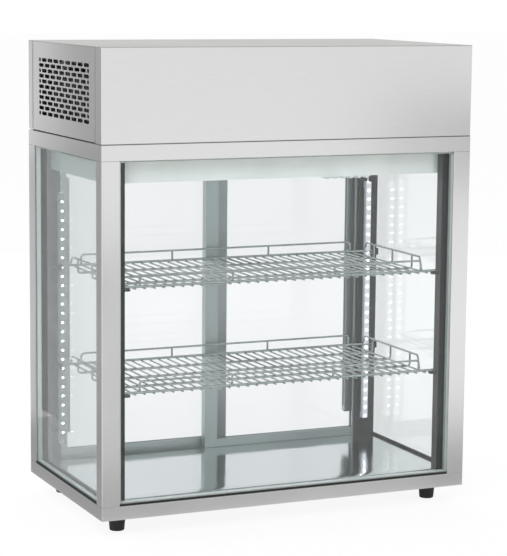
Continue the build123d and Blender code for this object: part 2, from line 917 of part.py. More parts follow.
def shelf_deck(level):
    """Return the welded wire deck of a shelf."""
    edge_r = edge_wire_diameter / 2
    fine_r = fine_wire_diameter / 2
    fine_z = level - (edge_r + fine_r - weld_bite)
    bearer_z = fine_z - (edge_r + fine_r - weld_bite)
    front = front_y + front_edge_offset
    rear = front_y + rear_edge_offset
    wires = []
    for y in (front, rear):
        wires.append(rod((-edge_wire_reach, y, level), (edge_wire_reach, y, level), edge_r))
    bearer_reach = side_fence_x - fence_bend_radius
    for offset_y in bearer_offsets:
        y = front_y + offset_y
        wires.append(rod((-bearer_reach, y, bearer_z), (bearer_reach, y, bearer_z), edge_r))
    for i in range(fine_wire_count):
        x = (i - (fine_wire_count - 1) / 2) * fine_wire_pitch
        wires.append(rod((x, front - fine_wire_stub, fine_z), (x, rear + fine_wire_stub, fine_z), fine_r))
    return joined(wires)


def bearer_drop():
    """Return how far a bearer's centre lies under the edge wires' centres."""
    return 2 * (edge_wire_diameter / 2 + fine_wire_diameter / 2 - weld_bite)


def side_fence(level):
    """Return the fence at the shelf's right end: its rail and the turned-up bearer ends."""
    r = fence_wire_diameter / 2
    x = side_fence_x
    top = level + fence_height
    low = level - bearer_drop()
    points = [
        (x, front_y + side_fence_rear - 2 * fence_bend_radius, top),
        (x, front_y + side_fence_front, top),
        (x, front_y + side_fence_front - side_fence_slope, low),
    ]
    fence = bent_rod(points, r, fence_bend_radius)
    for offset_y in bearer_offsets:
        y = front_y + offset_y
        upright = [(x - fence_bend_radius, y, low), (x, y, low), (x, y, top)]
        fence += bent_rod(upright, r, fence_bend_radius - edge_radius)
    return fence


def shelf_hook(level):
    """Return the wire that runs from the right fence's rear end down and out to the rear support."""
    rear = front_y + side_fence_rear
    top = level + fence_height
    hook_y = front_y + side_hook_offset
    points = [
        (side_hook_reach, hook_y, level),
        (side_fence_x, hook_y, level),
        (side_fence_x, rear, top),
        (side_fence_x, rear - 2 * fence_bend_radius, top),
    ]
    return bent_rod(points, fence_wire_diameter / 2, fence_bend_radius)


def long_fence(y, foot_z, level):
    """Return a fence along the front or the rear of a shelf, with its two supports."""
    r = fence_wire_diameter / 2
    top = level + fence_height
    points = [
        (-long_fence_reach, y, foot_z), (-long_fence_reach, y, top),
        (long_fence_reach, y, top), (long_fence_reach, y, foot_z),
    ]
    fence = bent_rod(points, r, fence_bend_radius)
    for x in (-long_fence_support_x, long_fence_support_x):
        fence += rod((x, y, foot_z), (x, y, top), r)
    return fence


def shelf_fences(level):
    """Return the four fences of a shelf and its two rear hooks."""
    sides = [side_fence(level), shelf_hook(level)]
    edge_r = edge_wire_diameter / 2
    front = front_y + front_edge_offset + edge_r + fence_wire_diameter / 2 + front_fence_gap
    front_foot = level - edge_r + weld_bite
    rear = front_y + rear_edge_offset
    rear_foot = level + edge_r + front_fence_gap
    sides += [mirrored(side) for side in sides]
    return sides + [long_fence(front, front_foot, level), long_fence(rear, rear_foot, level)]


def make_brackets():
    """Return the shelf supports on the jambs and on the front trims."""
    pieces = []
    for level in shelf_levels.values():
        hook_top = level - fence_wire_diameter / 2 - shelf_lift_gap
        centre_x = side_hook_reach - bracket_width / 2
        x = (centre_x - bracket_width / 2, centre_x + bracket_width / 2)
        tip_y = jamb_front - rear_bracket_depth
        arm = block(x, (tip_y, jamb_front), (hook_top - bracket_thickness, hook_top))
        tip_z = (level - bracket_tip_height / 2, level + bracket_tip_height / 2)
        tip = block(x, (tip_y - bracket_tip_thickness, tip_y), tip_z)
        edge_top = level - edge_wire_diameter / 2 - shelf_lift_gap
        trim_x = half_width - trim_reach_x
        front = front_y + front_edge_offset
        ledge = block(
            (trim_x - front_bracket_reach, trim_x),
            (front - bracket_width / 2, front + bracket_width / 2),
            (edge_top - bracket_thickness, edge_top),
        )
        for piece in (arm, tip, ledge):
            pieces += [piece, mirrored(piece)]
    return pieces


def finned_coil(length, height, depth, fin_pitch):
    """Return a fin-and-tube coil along X, centred on the origin, with its return bends."""
    fins = int(length / fin_pitch)
    rows = max(1, int(height / coil_tube_spacing))
    columns = max(1, int(depth / coil_tube_spacing))
    parts = []
    for i in range(fins):
        x = (i - (fins - 1) / 2) * fin_pitch
        parts.append(mid_block((x, 0, 0), (coil_fin_thickness, depth, height)))
    reach = length / 2 + coil_bend_stub
    places = []
    for column in range(columns):
        y = (column - (columns - 1) / 2) * coil_tube_spacing
        order = range(rows) if column % 2 == 0 else reversed(range(rows))
        for row in order:
            places.append((y, (row - (rows - 1) / 2) * coil_tube_spacing))
    for y, z in places:
        parts.append(Pos(0, y, z) * Rot(0, 90, 0) * Cylinder(coil_tube_radius, 2 * reach))
    for i in range(len(places) - 1):
        end = reach if i % 2 == 0 else -reach
        y = (places[i][0] + places[i + 1][0]) / 2
        z = (places[i][1] + places[i + 1][1]) / 2
        across = places[i][0] != places[i + 1][0]
        bend = Torus(coil_tube_spacing / 2, coil_tube_radius, major_angle=180, align=Align.NONE)
        turn = Rot(0, 0, -90) if across else Rot(90, 0, 0) * Rot(0, 0, -90)
        if end < 0:
            turn = Rot(0, 0, 180) * turn
        parts.append(Pos(end, y, z) * turn * bend)
    return joined(parts)


def fan_blades(radius, depth):
    """Return a fan rotor along Z, its hub's rear face at the origin, with its shaft below zero."""
    hub = Pos(0, 0, depth / 2) * Cylinder(fan_hub_radius, depth)
    blade_length = radius + fan_hub_radius
    rotor = hub
    for i in range(fan_blade_count):
        blade = mid_block((blade_length / 2, 0, 0), (blade_length, fan_blade_chord, fan_blade_thickness))
        place = Rot(0, 0, i * 360 / fan_blade_count) * Pos(0, 0, depth / 2)
        rotor += place * Rot(fan_blade_pitch, 0, 0) * blade
    rotor &= Pos(0, 0, depth / 2) * Cylinder(radius, depth)
    shaft_length = fan_axial_gap + fan_shaft_engagement
    shaft = Pos(0, 0, -shaft_length / 2) * Cylinder(fan_shaft_radius, shaft_length)
    return rotor + shaft


def fan_motor(radius, length):
    """Return a motor along Z, its front face at the origin, bored for the fan's shaft."""
    body = Pos(0, 0, -length / 2) * Cylinder(radius, length)
    body = fillet(body.edges().filter_by(GeomType.CIRCLE), 2 * edge_radius)
    depth = fan_shaft_engagement + fan_axial_gap
    bore = Pos(0, 0, -depth / 2) * Cylinder(fan_shaft_radius + fan_shaft_clearance, depth)
    return body - bore


def condenser_fan_place():
    """Return the place of the condenser fan, its axis along the case's width."""
    y = front_y + condenser_front_offset + condenser_length / 2
    return Pos(condenser_fan_x, y, condenser_fan_z) * Rot(0, -90, 0)


def evaporator_fan_place():
    """Return the place of the evaporator fan, its axis upright, blowing down."""
    z = ceiling_z - evaporator_hub_drop
    return Pos(evaporator_fan_x, front_y + evaporator_fan_offset, z) * Rot(180, 0, 0)


def make_fan_motors():
    """Return the two fan motors with the stand and the hanger that carry them."""
    condenser_motor = condenser_fan_place() * Pos(0, 0, -fan_axial_gap) * fan_motor(
        condenser_motor_radius, condenser_motor_length
    )
    y = front_y + condenser_front_offset + condenser_length / 2
    stand_x = condenser_fan_x + fan_axial_gap + condenser_motor_length / 2
    stand = block(
        (stand_x - condenser_motor_radius / 2, stand_x + condenser_motor_radius / 2),
        (y - condenser_motor_radius / 2, y + condenser_motor_radius / 2),
        (deck_top, condenser_fan_z),
    )
    foot = block(
        (stand_x - condenser_motor_radius, stand_x + condenser_motor_radius),
        (y - condenser_motor_radius, y + condenser_motor_radius),
        (deck_top, deck_top + motor_strap),
    )
    bore_depth = fan_shaft_engagement + 2 * fan_axial_gap
    bore = Pos(0, 0, -bore_depth / 2) * Cylinder(fan_shaft_radius + fan_shaft_clearance, bore_depth)
    condenser_motor = condenser_motor + stand + foot - condenser_fan_place() * bore
    evaporator_motor = evaporator_fan_place() * Pos(0, 0, -fan_axial_gap) * fan_motor(
        evaporator_motor_radius, evaporator_hub_drop - fan_axial_gap
    )
    return [condenser_motor, evaporator_motor]


def make_compressor():
    """Return the hermetic compressor with its seam, base plate and terminal box."""
    base_z = deck_top + grommet_height
    shell_z = base_z + compressor_base_thickness
    shell = Pos(0, 0, compressor_shell_height / 2) * Cylinder(compressor_radius, compressor_shell_height)
    shell = fillet(shell.edges().filter_by(GeomType.CIRCLE), compressor_dome_radius)
    seam_z = compressor_shell_height / 2
    shell += Pos(0, 0, seam_z) * Cylinder(compressor_seam_radius, compressor_seam_height)
    terminal_y = compressor_radius + terminal_depth / 2 - 2 * sheet
    shell += mid_block((0, -terminal_y, seam_z), (terminal_width, terminal_depth, terminal_height))
    plate_z = -compressor_base_thickness / 2
    plate_size = (compressor_base_width, compressor_base_depth, compressor_base_thickness)
    plate = mid_block((0, 0, plate_z), plate_size)
    saddle_size = (compressor_radius, compressor_radius, compressor_dome_radius / 2)
    shell += plate + mid_block((0, 0, compressor_dome_radius / 4), saddle_size)
    compressor = Pos(compressor_x, compressor_y, shell_z) * shell
    for x, y in grommet_places():
        neck = Cylinder(grommet_neck_radius, 4 * compressor_base_thickness)
        compressor -= Pos(x, y, base_z) * neck
    return compressor


def grommet_places():
    """Return the places of the compressor's four rubber mounts."""
    reach_x = compressor_base_width / 2 - compressor_foot_inset
    reach_y = compressor_base_depth / 2 - compressor_foot_inset
    return [(compressor_x + i * reach_x, compressor_y + j * reach_y) for i in (-1, 1) for j in (-1, 1)]


def make_grommets():
    """Return the rubber mounts between the compressor's base plate and the deck."""
    pieces = []
    neck_height = grommet_height + compressor_base_thickness
    for x, y in grommet_places():
        body = Pos(x, y, deck_top + grommet_height / 2) * Cylinder(grommet_radius, grommet_height)
        neck = Pos(x, y, deck_top + neck_height / 2) * Cylinder(grommet_neck_radius, neck_height)
        pieces.append(body + neck)
    return pieces


def make_condenser():
    """Return the condenser coil behind the left vent, standing on its end plates."""
    coil = finned_coil(condenser_length, condenser_height, condenser_depth, condenser_fin_pitch)
    y = front_y + condenser_front_offset + condenser_length / 2
    z = deck_top + condenser_height / 2
    return Pos(condenser_x, y, z) * Rot(0, 0, 90) * coil


def make_evaporator():
    """Return the evaporator coil under the ceiling."""
    coil = finned_coil(evaporator_length, evaporator_height, evaporator_depth, evaporator_fin_pitch)
    y = front_y + evaporator_front_offset + evaporator_depth / 2
    return Pos(evaporator_x, y, ceiling_z - evaporator_height / 2) * Rot(0, 0, 180) * coil


def coil_tube_places(height, depth):
    """Return how far the first and the last tube of a coil lie across it and above its middle."""
    rows = max(1, int(height / coil_tube_spacing))
    columns = max(1, int(depth / coil_tube_spacing))
    return (columns - 1) / 2 * coil_tube_spacing, (rows - 1) / 2 * coil_tube_spacing


def condenser_ends():
    """Return the points where the condenser's first and last tubes end, at its front."""
    across, up = coil_tube_places(condenser_height, condenser_depth)
    y = front_y + condenser_front_offset - coil_bend_stub
    z = deck_top + condenser_height / 2 - up
    return (condenser_x + across, y, z), (condenser_x - across, y, z)


def evaporator_ends():
    """Return the points where the evaporator's first and last tubes end, at its right."""
    across, up = coil_tube_places(evaporator_height, evaporator_depth)
    x = evaporator_x + evaporator_length / 2 + coil_bend_stub
    y = front_y + evaporator_front_offset + evaporator_depth / 2
    z = ceiling_z - evaporator_height / 2 + up
    return (x, y + across, z), (x, y - across, z)


def make_lines():
    """Return the discharge, liquid, capillary and suction lines and the filter drier."""
    shell_z = deck_top + grommet_height + compressor_base_thickness
    hot, cool = condenser_ends()
    cold_in, cold_out = evaporator_ends()
    left_x = compressor_x - compressor_radius
    turn_x = left_x - 3 * line_bend
    hot_z = shell_z + discharge_height
    hot_y = hot[1] - line_front_gap
    discharge = bent_rod(
        [
            (left_x, compressor_y, hot_z), (turn_x, compressor_y, hot_z), (turn_x, hot_y, hot_z),
            (hot[0], hot_y, hot_z), (hot[0], hot_y, hot[2]), hot,
        ],
        line_radius,
        line_bend,
    )
    capillary_x = line_hole_x + capillary_shift
    capillary_y = line_hole_y + capillary_shift
    drier_end = line_hole_x - drier_run
    drier_start = drier_end - drier_length
    drier = rod((drier_start, capillary_y, cool[2]), (drier_end, capillary_y, cool[2]), drier_radius)
    liquid_x = drier_start - 3 * line_bend
    liquid_y = cool[1] - 2 * line_front_gap
    liquid = bent_rod(
        [
            cool, (cool[0], liquid_y, cool[2]), (liquid_x, liquid_y, cool[2]),
            (liquid_x, capillary_y, cool[2]), (drier_start, capillary_y, cool[2]),
        ],
        line_radius,
        line_bend,
    )
    thin_z = cold_in[2] + capillary_rise
    step_x = capillary_x - capillary_step
    capillary = bent_rod(
        [
            (drier_end, capillary_y, cool[2]), (capillary_x, capillary_y, cool[2]),
            (capillary_x, capillary_y, thin_z), (capillary_x, cold_in[1], thin_z),
            (step_x, cold_in[1], thin_z), (step_x, cold_in[1], cold_in[2]), cold_in,
        ],
        capillary_radius,
        capillary_bend,
    )
    suction_x = line_hole_x + suction_shift
    suction_y = line_hole_y + suction_shift
    suction_z = shell_z + suction_height
    rear_face = compressor_y + compressor_radius
    suction = bent_rod(
        [
            cold_out, (suction_x, cold_out[1], cold_out[2]), (suction_x, suction_y, cold_out[2]),
            (suction_x, suction_y, suction_z), (compressor_x, suction_y, suction_z),
            (compressor_x, rear_face, suction_z),
        ],
        suction_radius,
        line_bend,
    )
    return [discharge, liquid, drier, capillary, suction]


def make_controller():
    """Return the controller: a bezel with display window and button holes on a body behind it."""
    face = pocket_floor_y + controller_bezel
    bezel_y = (pocket_floor_y, face)
    x = (controller_x - controller_width / 2, controller_x + controller_width / 2)
    z = (pocket_centre_z - controller_height / 2, pocket_centre_z + controller_height / 2)
    bezel = block(x, bezel_y, z)
    bezel = fillet(bezel.edges().filter_by(Axis.Y), 2 * edge_radius)
    size = (controller_body_width, controller_body_depth, controller_body_height)
    body = mid_block((controller_x, pocket_floor_y - controller_body_depth / 2, pocket_centre_z), size)
    display = mid_block(
        (controller_x + display_shift, face - display_recess / 2, pocket_centre_z),
        (display_width, display_recess, display_height),
    )
    controller = bezel + body - display
    for x_button, z_button in button_places():
        hole = mid_block(
            (x_button, face - button_hole_depth / 2, z_button),
            (button_width + 2 * button_clearance, button_hole_depth, button_height + 2 * button_clearance),
        )
        controller -= hole
    return controller


def button_places():
    """Return the centres of the controller's four buttons, seen from behind from upper left on."""
    centre_x = controller_x - button_shift
    places = []
    for up in (1, -1):
        for across in (1, -1):
            x = centre_x + across * button_pitch_x / 2
            places.append((x, pocket_centre_z + up * button_pitch_z / 2))
    return places


def make_button(place):
    """Return one controller button at rest, proud of the bezel."""
    face = pocket_floor_y + controller_bezel
    y = (face + button_proud - button_length, face + button_proud)
    button = block(
        (place[0] - button_width / 2, place[0] + button_width / 2),
        y,
        (place[1] - button_height / 2, place[1] + button_height / 2),
    )
    return fillet(button.edges().group_by(Axis.Y)[-1], edge_radius / 2)


def rocker_pivot(x):
    """Return the pivot point of a rocker switch at a given place along the panel."""
    return (x, pocket_floor_y + switch_bezel - rocker_pivot_depth, pocket_centre_z)


def rocker_half_width():
    """Return half the width of a rocker between its pins."""
    return switch_width / 2 - switch_rim - switch_wall - rocker_side_clearance


def make_rocker(x):
    """Return a rocker with its pivot pins, tilted to its lower stop."""
    reach = rocker_radius
    points = [
        (-rocker_back, -reach), (rocker_rise, -reach), (rocker_dip, 0),
        (rocker_rise, reach), (-rocker_back, reach),
    ]
    face = Plane.YZ * make_face(Polyline(*points, close=True))
    rocker = extrude(face, rocker_half_width(), both=True)
    rocker &= Rot(0, 90, 0) * Cylinder(rocker_radius, 2 * rocker_half_width())
    pin_reach = rocker_half_width() + rocker_side_clearance + rocker_pin_length
    rocker += Rot(0, 90, 0) * Cylinder(rocker_pin_radius, 2 * pin_reach)
    return Pos(*rocker_pivot(x)) * Rot(rocker_tilt, 0, 0) * rocker


def make_switch_housing(x):
    """Return a switch housing: a bezel, a body behind the panel, the rocker's well and pivot holes."""
    bezel_centre = (x, pocket_floor_y + switch_bezel / 2, pocket_centre_z)
    bezel = mid_block(bezel_centre, (switch_width, switch_bezel, switch_height))
    bezel = fillet(bezel.edges().filter_by(Axis.Y), edge_radius)
    body_x = switch_width - 2 * switch_rim
    body_z = switch_height - 2 * switch_rim
    body_centre = (x, pocket_floor_y - switch_body_depth / 2, pocket_centre_z)
    body = mid_block(body_centre, (body_x, switch_body_depth, body_z))
    well_centre = (x, pocket_floor_y + switch_bezel - rocker_well_depth / 2, pocket_centre_z)
    well_size = (body_x - 2 * switch_wall, rocker_well_depth, 2 * (rocker_radius + rocker_side_clearance))
    pin_reach = rocker_half_width() + rocker_side_clearance + rocker_pin_length + pin_clearance
    bore = Cylinder(rocker_pin_radius + pin_clearance, 2 * pin_reach)
    pivot = Pos(*rocker_pivot(x)) * Rot(0, 90, 0) * bore
    return bezel + body - mid_block(well_centre, well_size) - pivot


def make_gland():
    """Return the cable gland: hexagon, dome and thread through the panel, with its lock nut."""
    hexagon = extrude(RegularPolygon(gland_hex_across / 2, 6, major_radius=False), gland_hex_depth)
    dome = Pos(0, 0, gland_hex_depth + gland_dome_depth / 2) * Cylinder(gland_dome_radius, gland_dome_depth)
    dome = fillet(dome.edges().group_by(Axis.Z)[-1], 2 * edge_radius)
    thread = Pos(0, 0, -gland_thread_depth / 2) * Cylinder(gland_thread_radius, gland_thread_depth)
    nut_start = -sheet - gland_nut_depth
    outline = RegularPolygon(gland_hex_across / 2, 6, major_radius=False)
    nut = Pos(0, 0, nut_start) * extrude(outline, gland_nut_depth)
    length = gland_thread_depth + gland_hex_depth + gland_dome_depth
    bore_z = gland_hex_depth + gland_dome_depth - length / 2
    gland = hexagon + dome + thread + nut - Pos(0, 0, bore_z) * Cylinder(gland_bore_radius, length)
    return Pos(gland_x, pocket_floor_y, pocket_centre_z) * Rot(-90, 0, 0) * gland


def screw():
    """Return a pan-head screw along Z, the underside of its head at the origin."""
    head = Pos(0, 0, screw_head_height / 2) * Cylinder(screw_head_radius, screw_head_height)
    head = fillet(head.edges().group_by(Axis.Z)[-1], screw_head_height / 2)
    shank = Pos(0, 0, -screw_length / 2) * Cylinder(screw_radius, screw_length)
    return head + shank


def make_fasteners():
    """Return the screws of the rear cover and of the bottom plate."""
    face_y = rear_y - header_sheet_inset
    pieces = [Pos(x, y, foot_height) * Rot(180, 0, 0) * screw() for x, y in base_screw_places()]
    for x in rear_screw_columns:
        for z in rear_screw_rows:
            pieces.append(Pos(x, face_y, z) * Rot(-90, 0, 0) * screw())
    return pieces


def build_case():
    """Return every piece of the case as a list of solids under its name."""
    left_bars, left_glass = make_door(left_door_x, outer_door_y)
    right_bars, right_glass = make_door(right_door_x, inner_door_y)
    outer_stile_edge = right_door_x + door_width - stile_width
    right_grip = outer_stile_edge - pull_stile_gap - pull_width
    left_grip = left_door_x + stile_width + pull_stile_gap
    evaporator_rotor = evaporator_fan_place() * fan_blades(evaporator_fan_radius, evaporator_fan_depth)
    condenser_rotor = condenser_fan_place() * fan_blades(condenser_fan_radius, condenser_fan_depth)
    pieces = {
        "feet": make_feet(),
        "base_frame": [make_base_frame()],
        "bottom_plate": [make_bottom_plate()],
        "insulation_slabs": make_insulation(),
        "floor_pan": [make_floor_pan()],
        "post_front_left": [make_front_post()],
        "post_front_right": [mirrored(make_front_post())],
        "post_rear_left": [make_rear_post()],
        "post_rear_right": [mirrored(make_rear_post())],
        "top_frame": [make_top_frame()],
        "front_panes": make_panes("front"),
        "left_panes": make_panes("side"),
        "right_panes": [mirrored(pane) for pane in make_panes("side")],
        "pane_spacers": [make_spacer("front"), make_spacer("side"), mirrored(make_spacer("side"))],
        "rubber_seals": make_seals(),
        "front_corner_trims": [make_front_trim(), mirrored(make_front_trim())],
        "rear_jamb_left": [make_jamb(left_lip_reach)],
        "rear_jamb_right": [mirrored(make_jamb(right_lip_reach))],
        "bottom_track": [make_track((rail_top - track_recess, track_floor), (track_floor, floor_top))],
        "top_track": [make_track((frame_z - track_web, frame_z), (top_fin_z, frame_z - track_web))],
        "left_door_frame": left_bars,
        "left_door_glass": [left_glass],
        "left_door_pull": [make_pull(left_grip, -1, outer_door_y + door_thickness)],
        "left_door_glides": make_glides(left_door_x, outer_door_y),
        "right_door_frame": right_bars,
        "right_door_glass": [right_glass],
        "right_door_pull": [make_pull(right_grip, 1, inner_door_y + door_thickness)],
        "right_door_glides": make_glides(right_door_x, inner_door_y),
        "evaporator_cover": [make_evaporator_cover()],
        "evaporator_coil": [make_evaporator()],
        "fan_motors": make_fan_motors(),
        "evaporator_fan_blade": [evaporator_rotor],
        "condenser_fan_blade": [condenser_rotor],
        "machine_deck": [make_deck()],
        "header_front_cover": [make_header_front()],
        "left_grille_panel": [make_side_panel()],
        "right_grille_panel": [mirrored(make_side_panel())],
        "header_top_panel": [make_roof()],
        "rear_cover": [make_rear_cover()],
        "compressor": [make_compressor()],
        "compressor_grommets": make_grommets(),
        "condenser_coil": [make_condenser()],
        "refrigerant_lines": make_lines(),
        "controller_body": [make_controller()],
        "light_switch_rocker": [make_rocker(light_switch_x)],
        "power_switch_rocker": [make_rocker(power_switch_x)],
        "switch_housings": [make_switch_housing(light_switch_x), make_switch_housing(power_switch_x)],
        "cable_gland": [make_gland()],
        "led_bar_left": [make_led_bar(-1)],
        "led_bar_right": [make_led_bar(1)],
        "shelf_brackets": make_brackets(),
        "fasteners": make_fasteners(),
    }
    for number, place in enumerate(button_places(), start=1):
        pieces[f"controller_button_{number}"] = [make_button(place)]
    for name, level in shelf_levels.items():
        pieces[f"{name}_shelf"] = [shelf_deck(level)]
        pieces[f"{name}_shelf_rails"] = shelf_fences(level)
    return pieces


def main():
    """Write one STEP file for each named piece."""
    os.makedirs("parts", exist_ok=True)
    for name, parts in build_case().items():
        solids = [solid for part in parts for solid in part.solids()]
        shape = solids[0] if len(solids) == 1 else Compound(children=solids)
        export_step(shape, os.path.join("parts", f"{name}.step"))
        print(name, len(solids))


main()
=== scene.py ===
"""Looks of a countertop refrigerated display case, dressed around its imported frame."""

import json
import logging
import math
from dataclasses import dataclass, replace
from enum import Enum
from typing import Sequence

import bmesh
import bpy
from mathutils import Matrix, Vector


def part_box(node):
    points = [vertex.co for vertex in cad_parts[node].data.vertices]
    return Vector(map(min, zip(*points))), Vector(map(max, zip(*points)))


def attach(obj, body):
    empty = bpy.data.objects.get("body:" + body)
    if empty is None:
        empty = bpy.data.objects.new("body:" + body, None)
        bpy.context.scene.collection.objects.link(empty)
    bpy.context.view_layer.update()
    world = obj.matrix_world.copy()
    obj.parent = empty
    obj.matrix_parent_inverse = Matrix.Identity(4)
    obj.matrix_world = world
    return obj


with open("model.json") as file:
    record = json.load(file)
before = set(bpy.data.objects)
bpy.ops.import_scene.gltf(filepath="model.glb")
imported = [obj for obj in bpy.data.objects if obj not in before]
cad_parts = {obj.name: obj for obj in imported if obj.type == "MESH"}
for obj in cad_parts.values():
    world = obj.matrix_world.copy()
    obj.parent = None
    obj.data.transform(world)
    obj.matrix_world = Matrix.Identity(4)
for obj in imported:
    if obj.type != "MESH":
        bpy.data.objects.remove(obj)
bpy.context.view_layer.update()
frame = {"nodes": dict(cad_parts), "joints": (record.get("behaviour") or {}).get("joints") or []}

log = logging.getLogger("display_case")
MM = 0.001
# The distance within which two corners of a mesh are one.
WELD = 0.001 * MM
WHITE = (1.0, 1.0, 1.0)
SIDES = ("left", "right")
# The least and the greatest share of X in the direction of a face that counts as an end.
SIDEWAYS = (0.8, 0.95)
# The whole range of a share.
FULL = (0.0, 1.0)
# The part of a cloud pattern's range that shows as handling marks.
MARKED = (0.38, 0.68)
# The turn that sets a flat sign, drawn in X and Y, upright and facing the rear.
FACING_REAR = Matrix.Rotation(math.radians(-90), 4, "X")
Place = tuple[float, float, float]
Colour = tuple[float, float, float]
Socket = bpy.types.NodeSocket
Node = bpy.types.Node
Material = bpy.types.Material
Mesh = bmesh.types.BMesh


class Axis(Enum):
    """The direction in which a finish runs, as its index in a vector."""

    X = 0
    Y = 1
    Z = 2


def shade(code: str) -> Colour:
    """Turn a screen colour into the linear colour that a shader takes.

    Args:
        code: six hexadecimal digits, as in "DBDCDB".

    Returns:
        Red, green and blue from 0 to 1, linear.
    """
    parts = (int(code[i : i + 2], 16) / 255 for i in (0, 2, 4))
    return tuple(v / 12.92 if v <= 0.04045 else ((v + 0.055) / 1.055) ** 2.4 for v in parts)


def toned(colour: Colour, share: float) -> Colour:
    """Make a colour darker or lighter by a share of itself.

    Args:
        colour: the linear colour.
        share: the share, above 1 to lighten it.

    Returns:
        The new colour, at most 1 in each part.
    """
    return tuple(min(1.0, value * share) for value in colour)


def stretched(along: Axis, share: float) -> Place:
    """Scale a pattern along one axis only.

    Args:
        along: the axis.
        share: the scale along it, below 1 to draw the pattern out.

    Returns:
        The scale along each axis.
    """
    return tuple(share if axis is along else 1.0 for axis in Axis)


class Graph:
    """A short way to write the nodes of one material, world or group."""

    def __init__(self, tree: bpy.types.NodeTree) -> None:
        """Keep the tree that the nodes go into."""
        self.tree = tree

    def add(self, kind: str, settings: dict | None = None, **inputs: object) -> Node:
        """Add a node, give it its settings and fill or link its inputs.

        Args:
            kind: the node's type without the words ShaderNode.
            settings: values of the node itself, such as its operation.
            inputs: a value or an output socket for each named input, with _ for a space.

        Returns:
            The new node.
        """
        node = self.tree.nodes.new("ShaderNode" + kind)
        for name, value in (settings or {}).items():
            setattr(node, name, value)
        self.fill_all(node, **inputs)
        return node

    def fill(self, node: Node, name: str | int, value: object) -> None:
        """Link an output to an input, or write a value into it.

        Args:
            node: the node that owns the input.
            name: the input's name or number.
            value: an output socket, a number, or a colour or vector.
        """
        socket = node.inputs[name]
        if isinstance(value, Socket):
            self.tree.links.new(value, socket)
        elif socket.type == "RGBA" and len(value) == 3:
            socket.default_value = (*value, 1.0)
        else:
            socket.default_value = value

    def fill_all(self, node: Node, **inputs: object) -> None:
        """Fill or link several inputs of a node.

        Args:
            node: the node.
            inputs: a value or an output socket for each named input, with _ for a space.
        """
        for name, value in inputs.items():
            self.fill(node, name.replace("_", " "), value)

    def place(self, stretch: Place = (1.0, 1.0, 1.0)) -> Socket:
        """Return the object's own coordinates, stretched along each axis."""
        spot = self.add("TexCoord").outputs["Object"]
        return self.add("Mapping", Vector=spot, Scale=stretch).outputs["Vector"]

    def axes(self, kind: str = "Object") -> dict[str, Socket]:
        """Split the object's own coordinates, or its Normal or Generated ones, into X, Y and Z."""
        node = self.add("SeparateXYZ", Vector=self.add("TexCoord").outputs[kind])
        return {name: node.outputs[name] for name in "XYZ"}

    def sideways(self) -> Socket:
        """Return 1 on the faces that look along X and 0 on the others."""
        return self.span(self.math("ABSOLUTE", self.axes("Normal")["X"]), *SIDEWAYS, *FULL)

    def math(self, operation: str, a: object, b: object = 0.0) -> Socket:
        """Work out one sum of two values.

        Args:
            operation: the sum, as the node names it.
            a: the first value, a number or a socket.
            b: the second value, which some sums don't need.

        Returns:
            The result.
        """
        node = self.add("Math", {"operation": operation})
        self.fill(node, 0, a)
        self.fill(node, 1, b)
        return node.outputs[0]

    def span(self, value: object, low: float, high: float, start: float, end: float) -> Socket:
        """Return a value moved from one range, low to high, to another, start to end."""
        node = self.add("MapRange", Value=value, From_Min=low, From_Max=high, To_Min=start, To_Max=end)
        return node.outputs["Result"]

    def mixed(self, share: object, a: object, b: object) -> Socket:
        """Mix two colours.

        Args:
            share: the share of the second colour.
            a: the first colour, as numbers or a socket.
            b: the second colour.

        Returns:
            The mixed colour.
        """
        node = self.add("Mix", {"data_type": "RGBA"})
        self.fill(node, "Factor", share)
        for socket, value in zip((s for s in node.inputs if s.type == "RGBA"), (a, b)):
            if isinstance(value, Socket):
                self.tree.links.new(value, socket)
            else:
                socket.default_value = (*value, 1.0)
        return next(s for s in node.outputs if s.type == "RGBA")

    def blended(self, share: Socket, a: Socket, b: Socket) -> Socket:
        """Mix two shaders.

        Args:
            share: the share of the second shader.
            a: the first shader.
            b: the second shader.

        Returns:
            The mixed shader.
        """
        node = self.add("MixShader")
        for index, value in enumerate((share, a, b)):
            self.fill(node, index, value)
        return node.outputs[0]

    def bump(self, height: Socket, strength: float, distance: float, over: Socket | None = None) -> Socket:
        """Return the normal of a surface with a relief on it.

        Args:
            height: the relief.
            strength: its share of the full relief.
            distance: the full relief, in metres.
            over: the normal under the relief, if it isn't the plain surface.

        Returns:
            The normal.
        """
        below = {"Normal": over} if over else {}
        node = self.add("Bump", Strength=strength, Distance=distance, Height=height, **below)
        return node.outputs["Normal"]


def new_group(
    name: str, inputs: dict[str, object], outputs: Sequence[str]
) -> tuple[Graph, dict[str, Socket], Node]:
    """Start a shader node group with named sockets.

    Args:
        name: the group's name.
        inputs: each input's name and first value; a tuple makes a vector socket.
        outputs: each output's name.

    Returns:
        The group's graph, its inputs inside the group, and its output node.
    """
    tree = bpy.data.node_groups.new(name, "ShaderNodeTree")
    for key, value in inputs.items():
        kind = "NodeSocketVector" if isinstance(value, tuple) else "NodeSocketFloat"
        tree.interface.new_socket(key, in_out="INPUT", socket_type=kind).default_value = value
    for key in outputs:
        tree.interface.new_socket(key, in_out="OUTPUT", socket_type="NodeSocketFloat")
    entry = tree.nodes.new("NodeGroupInput")
    leave = tree.nodes.new("NodeGroupOutput")
    return Graph(tree), {key: entry.outputs[key] for key in inputs}, leave


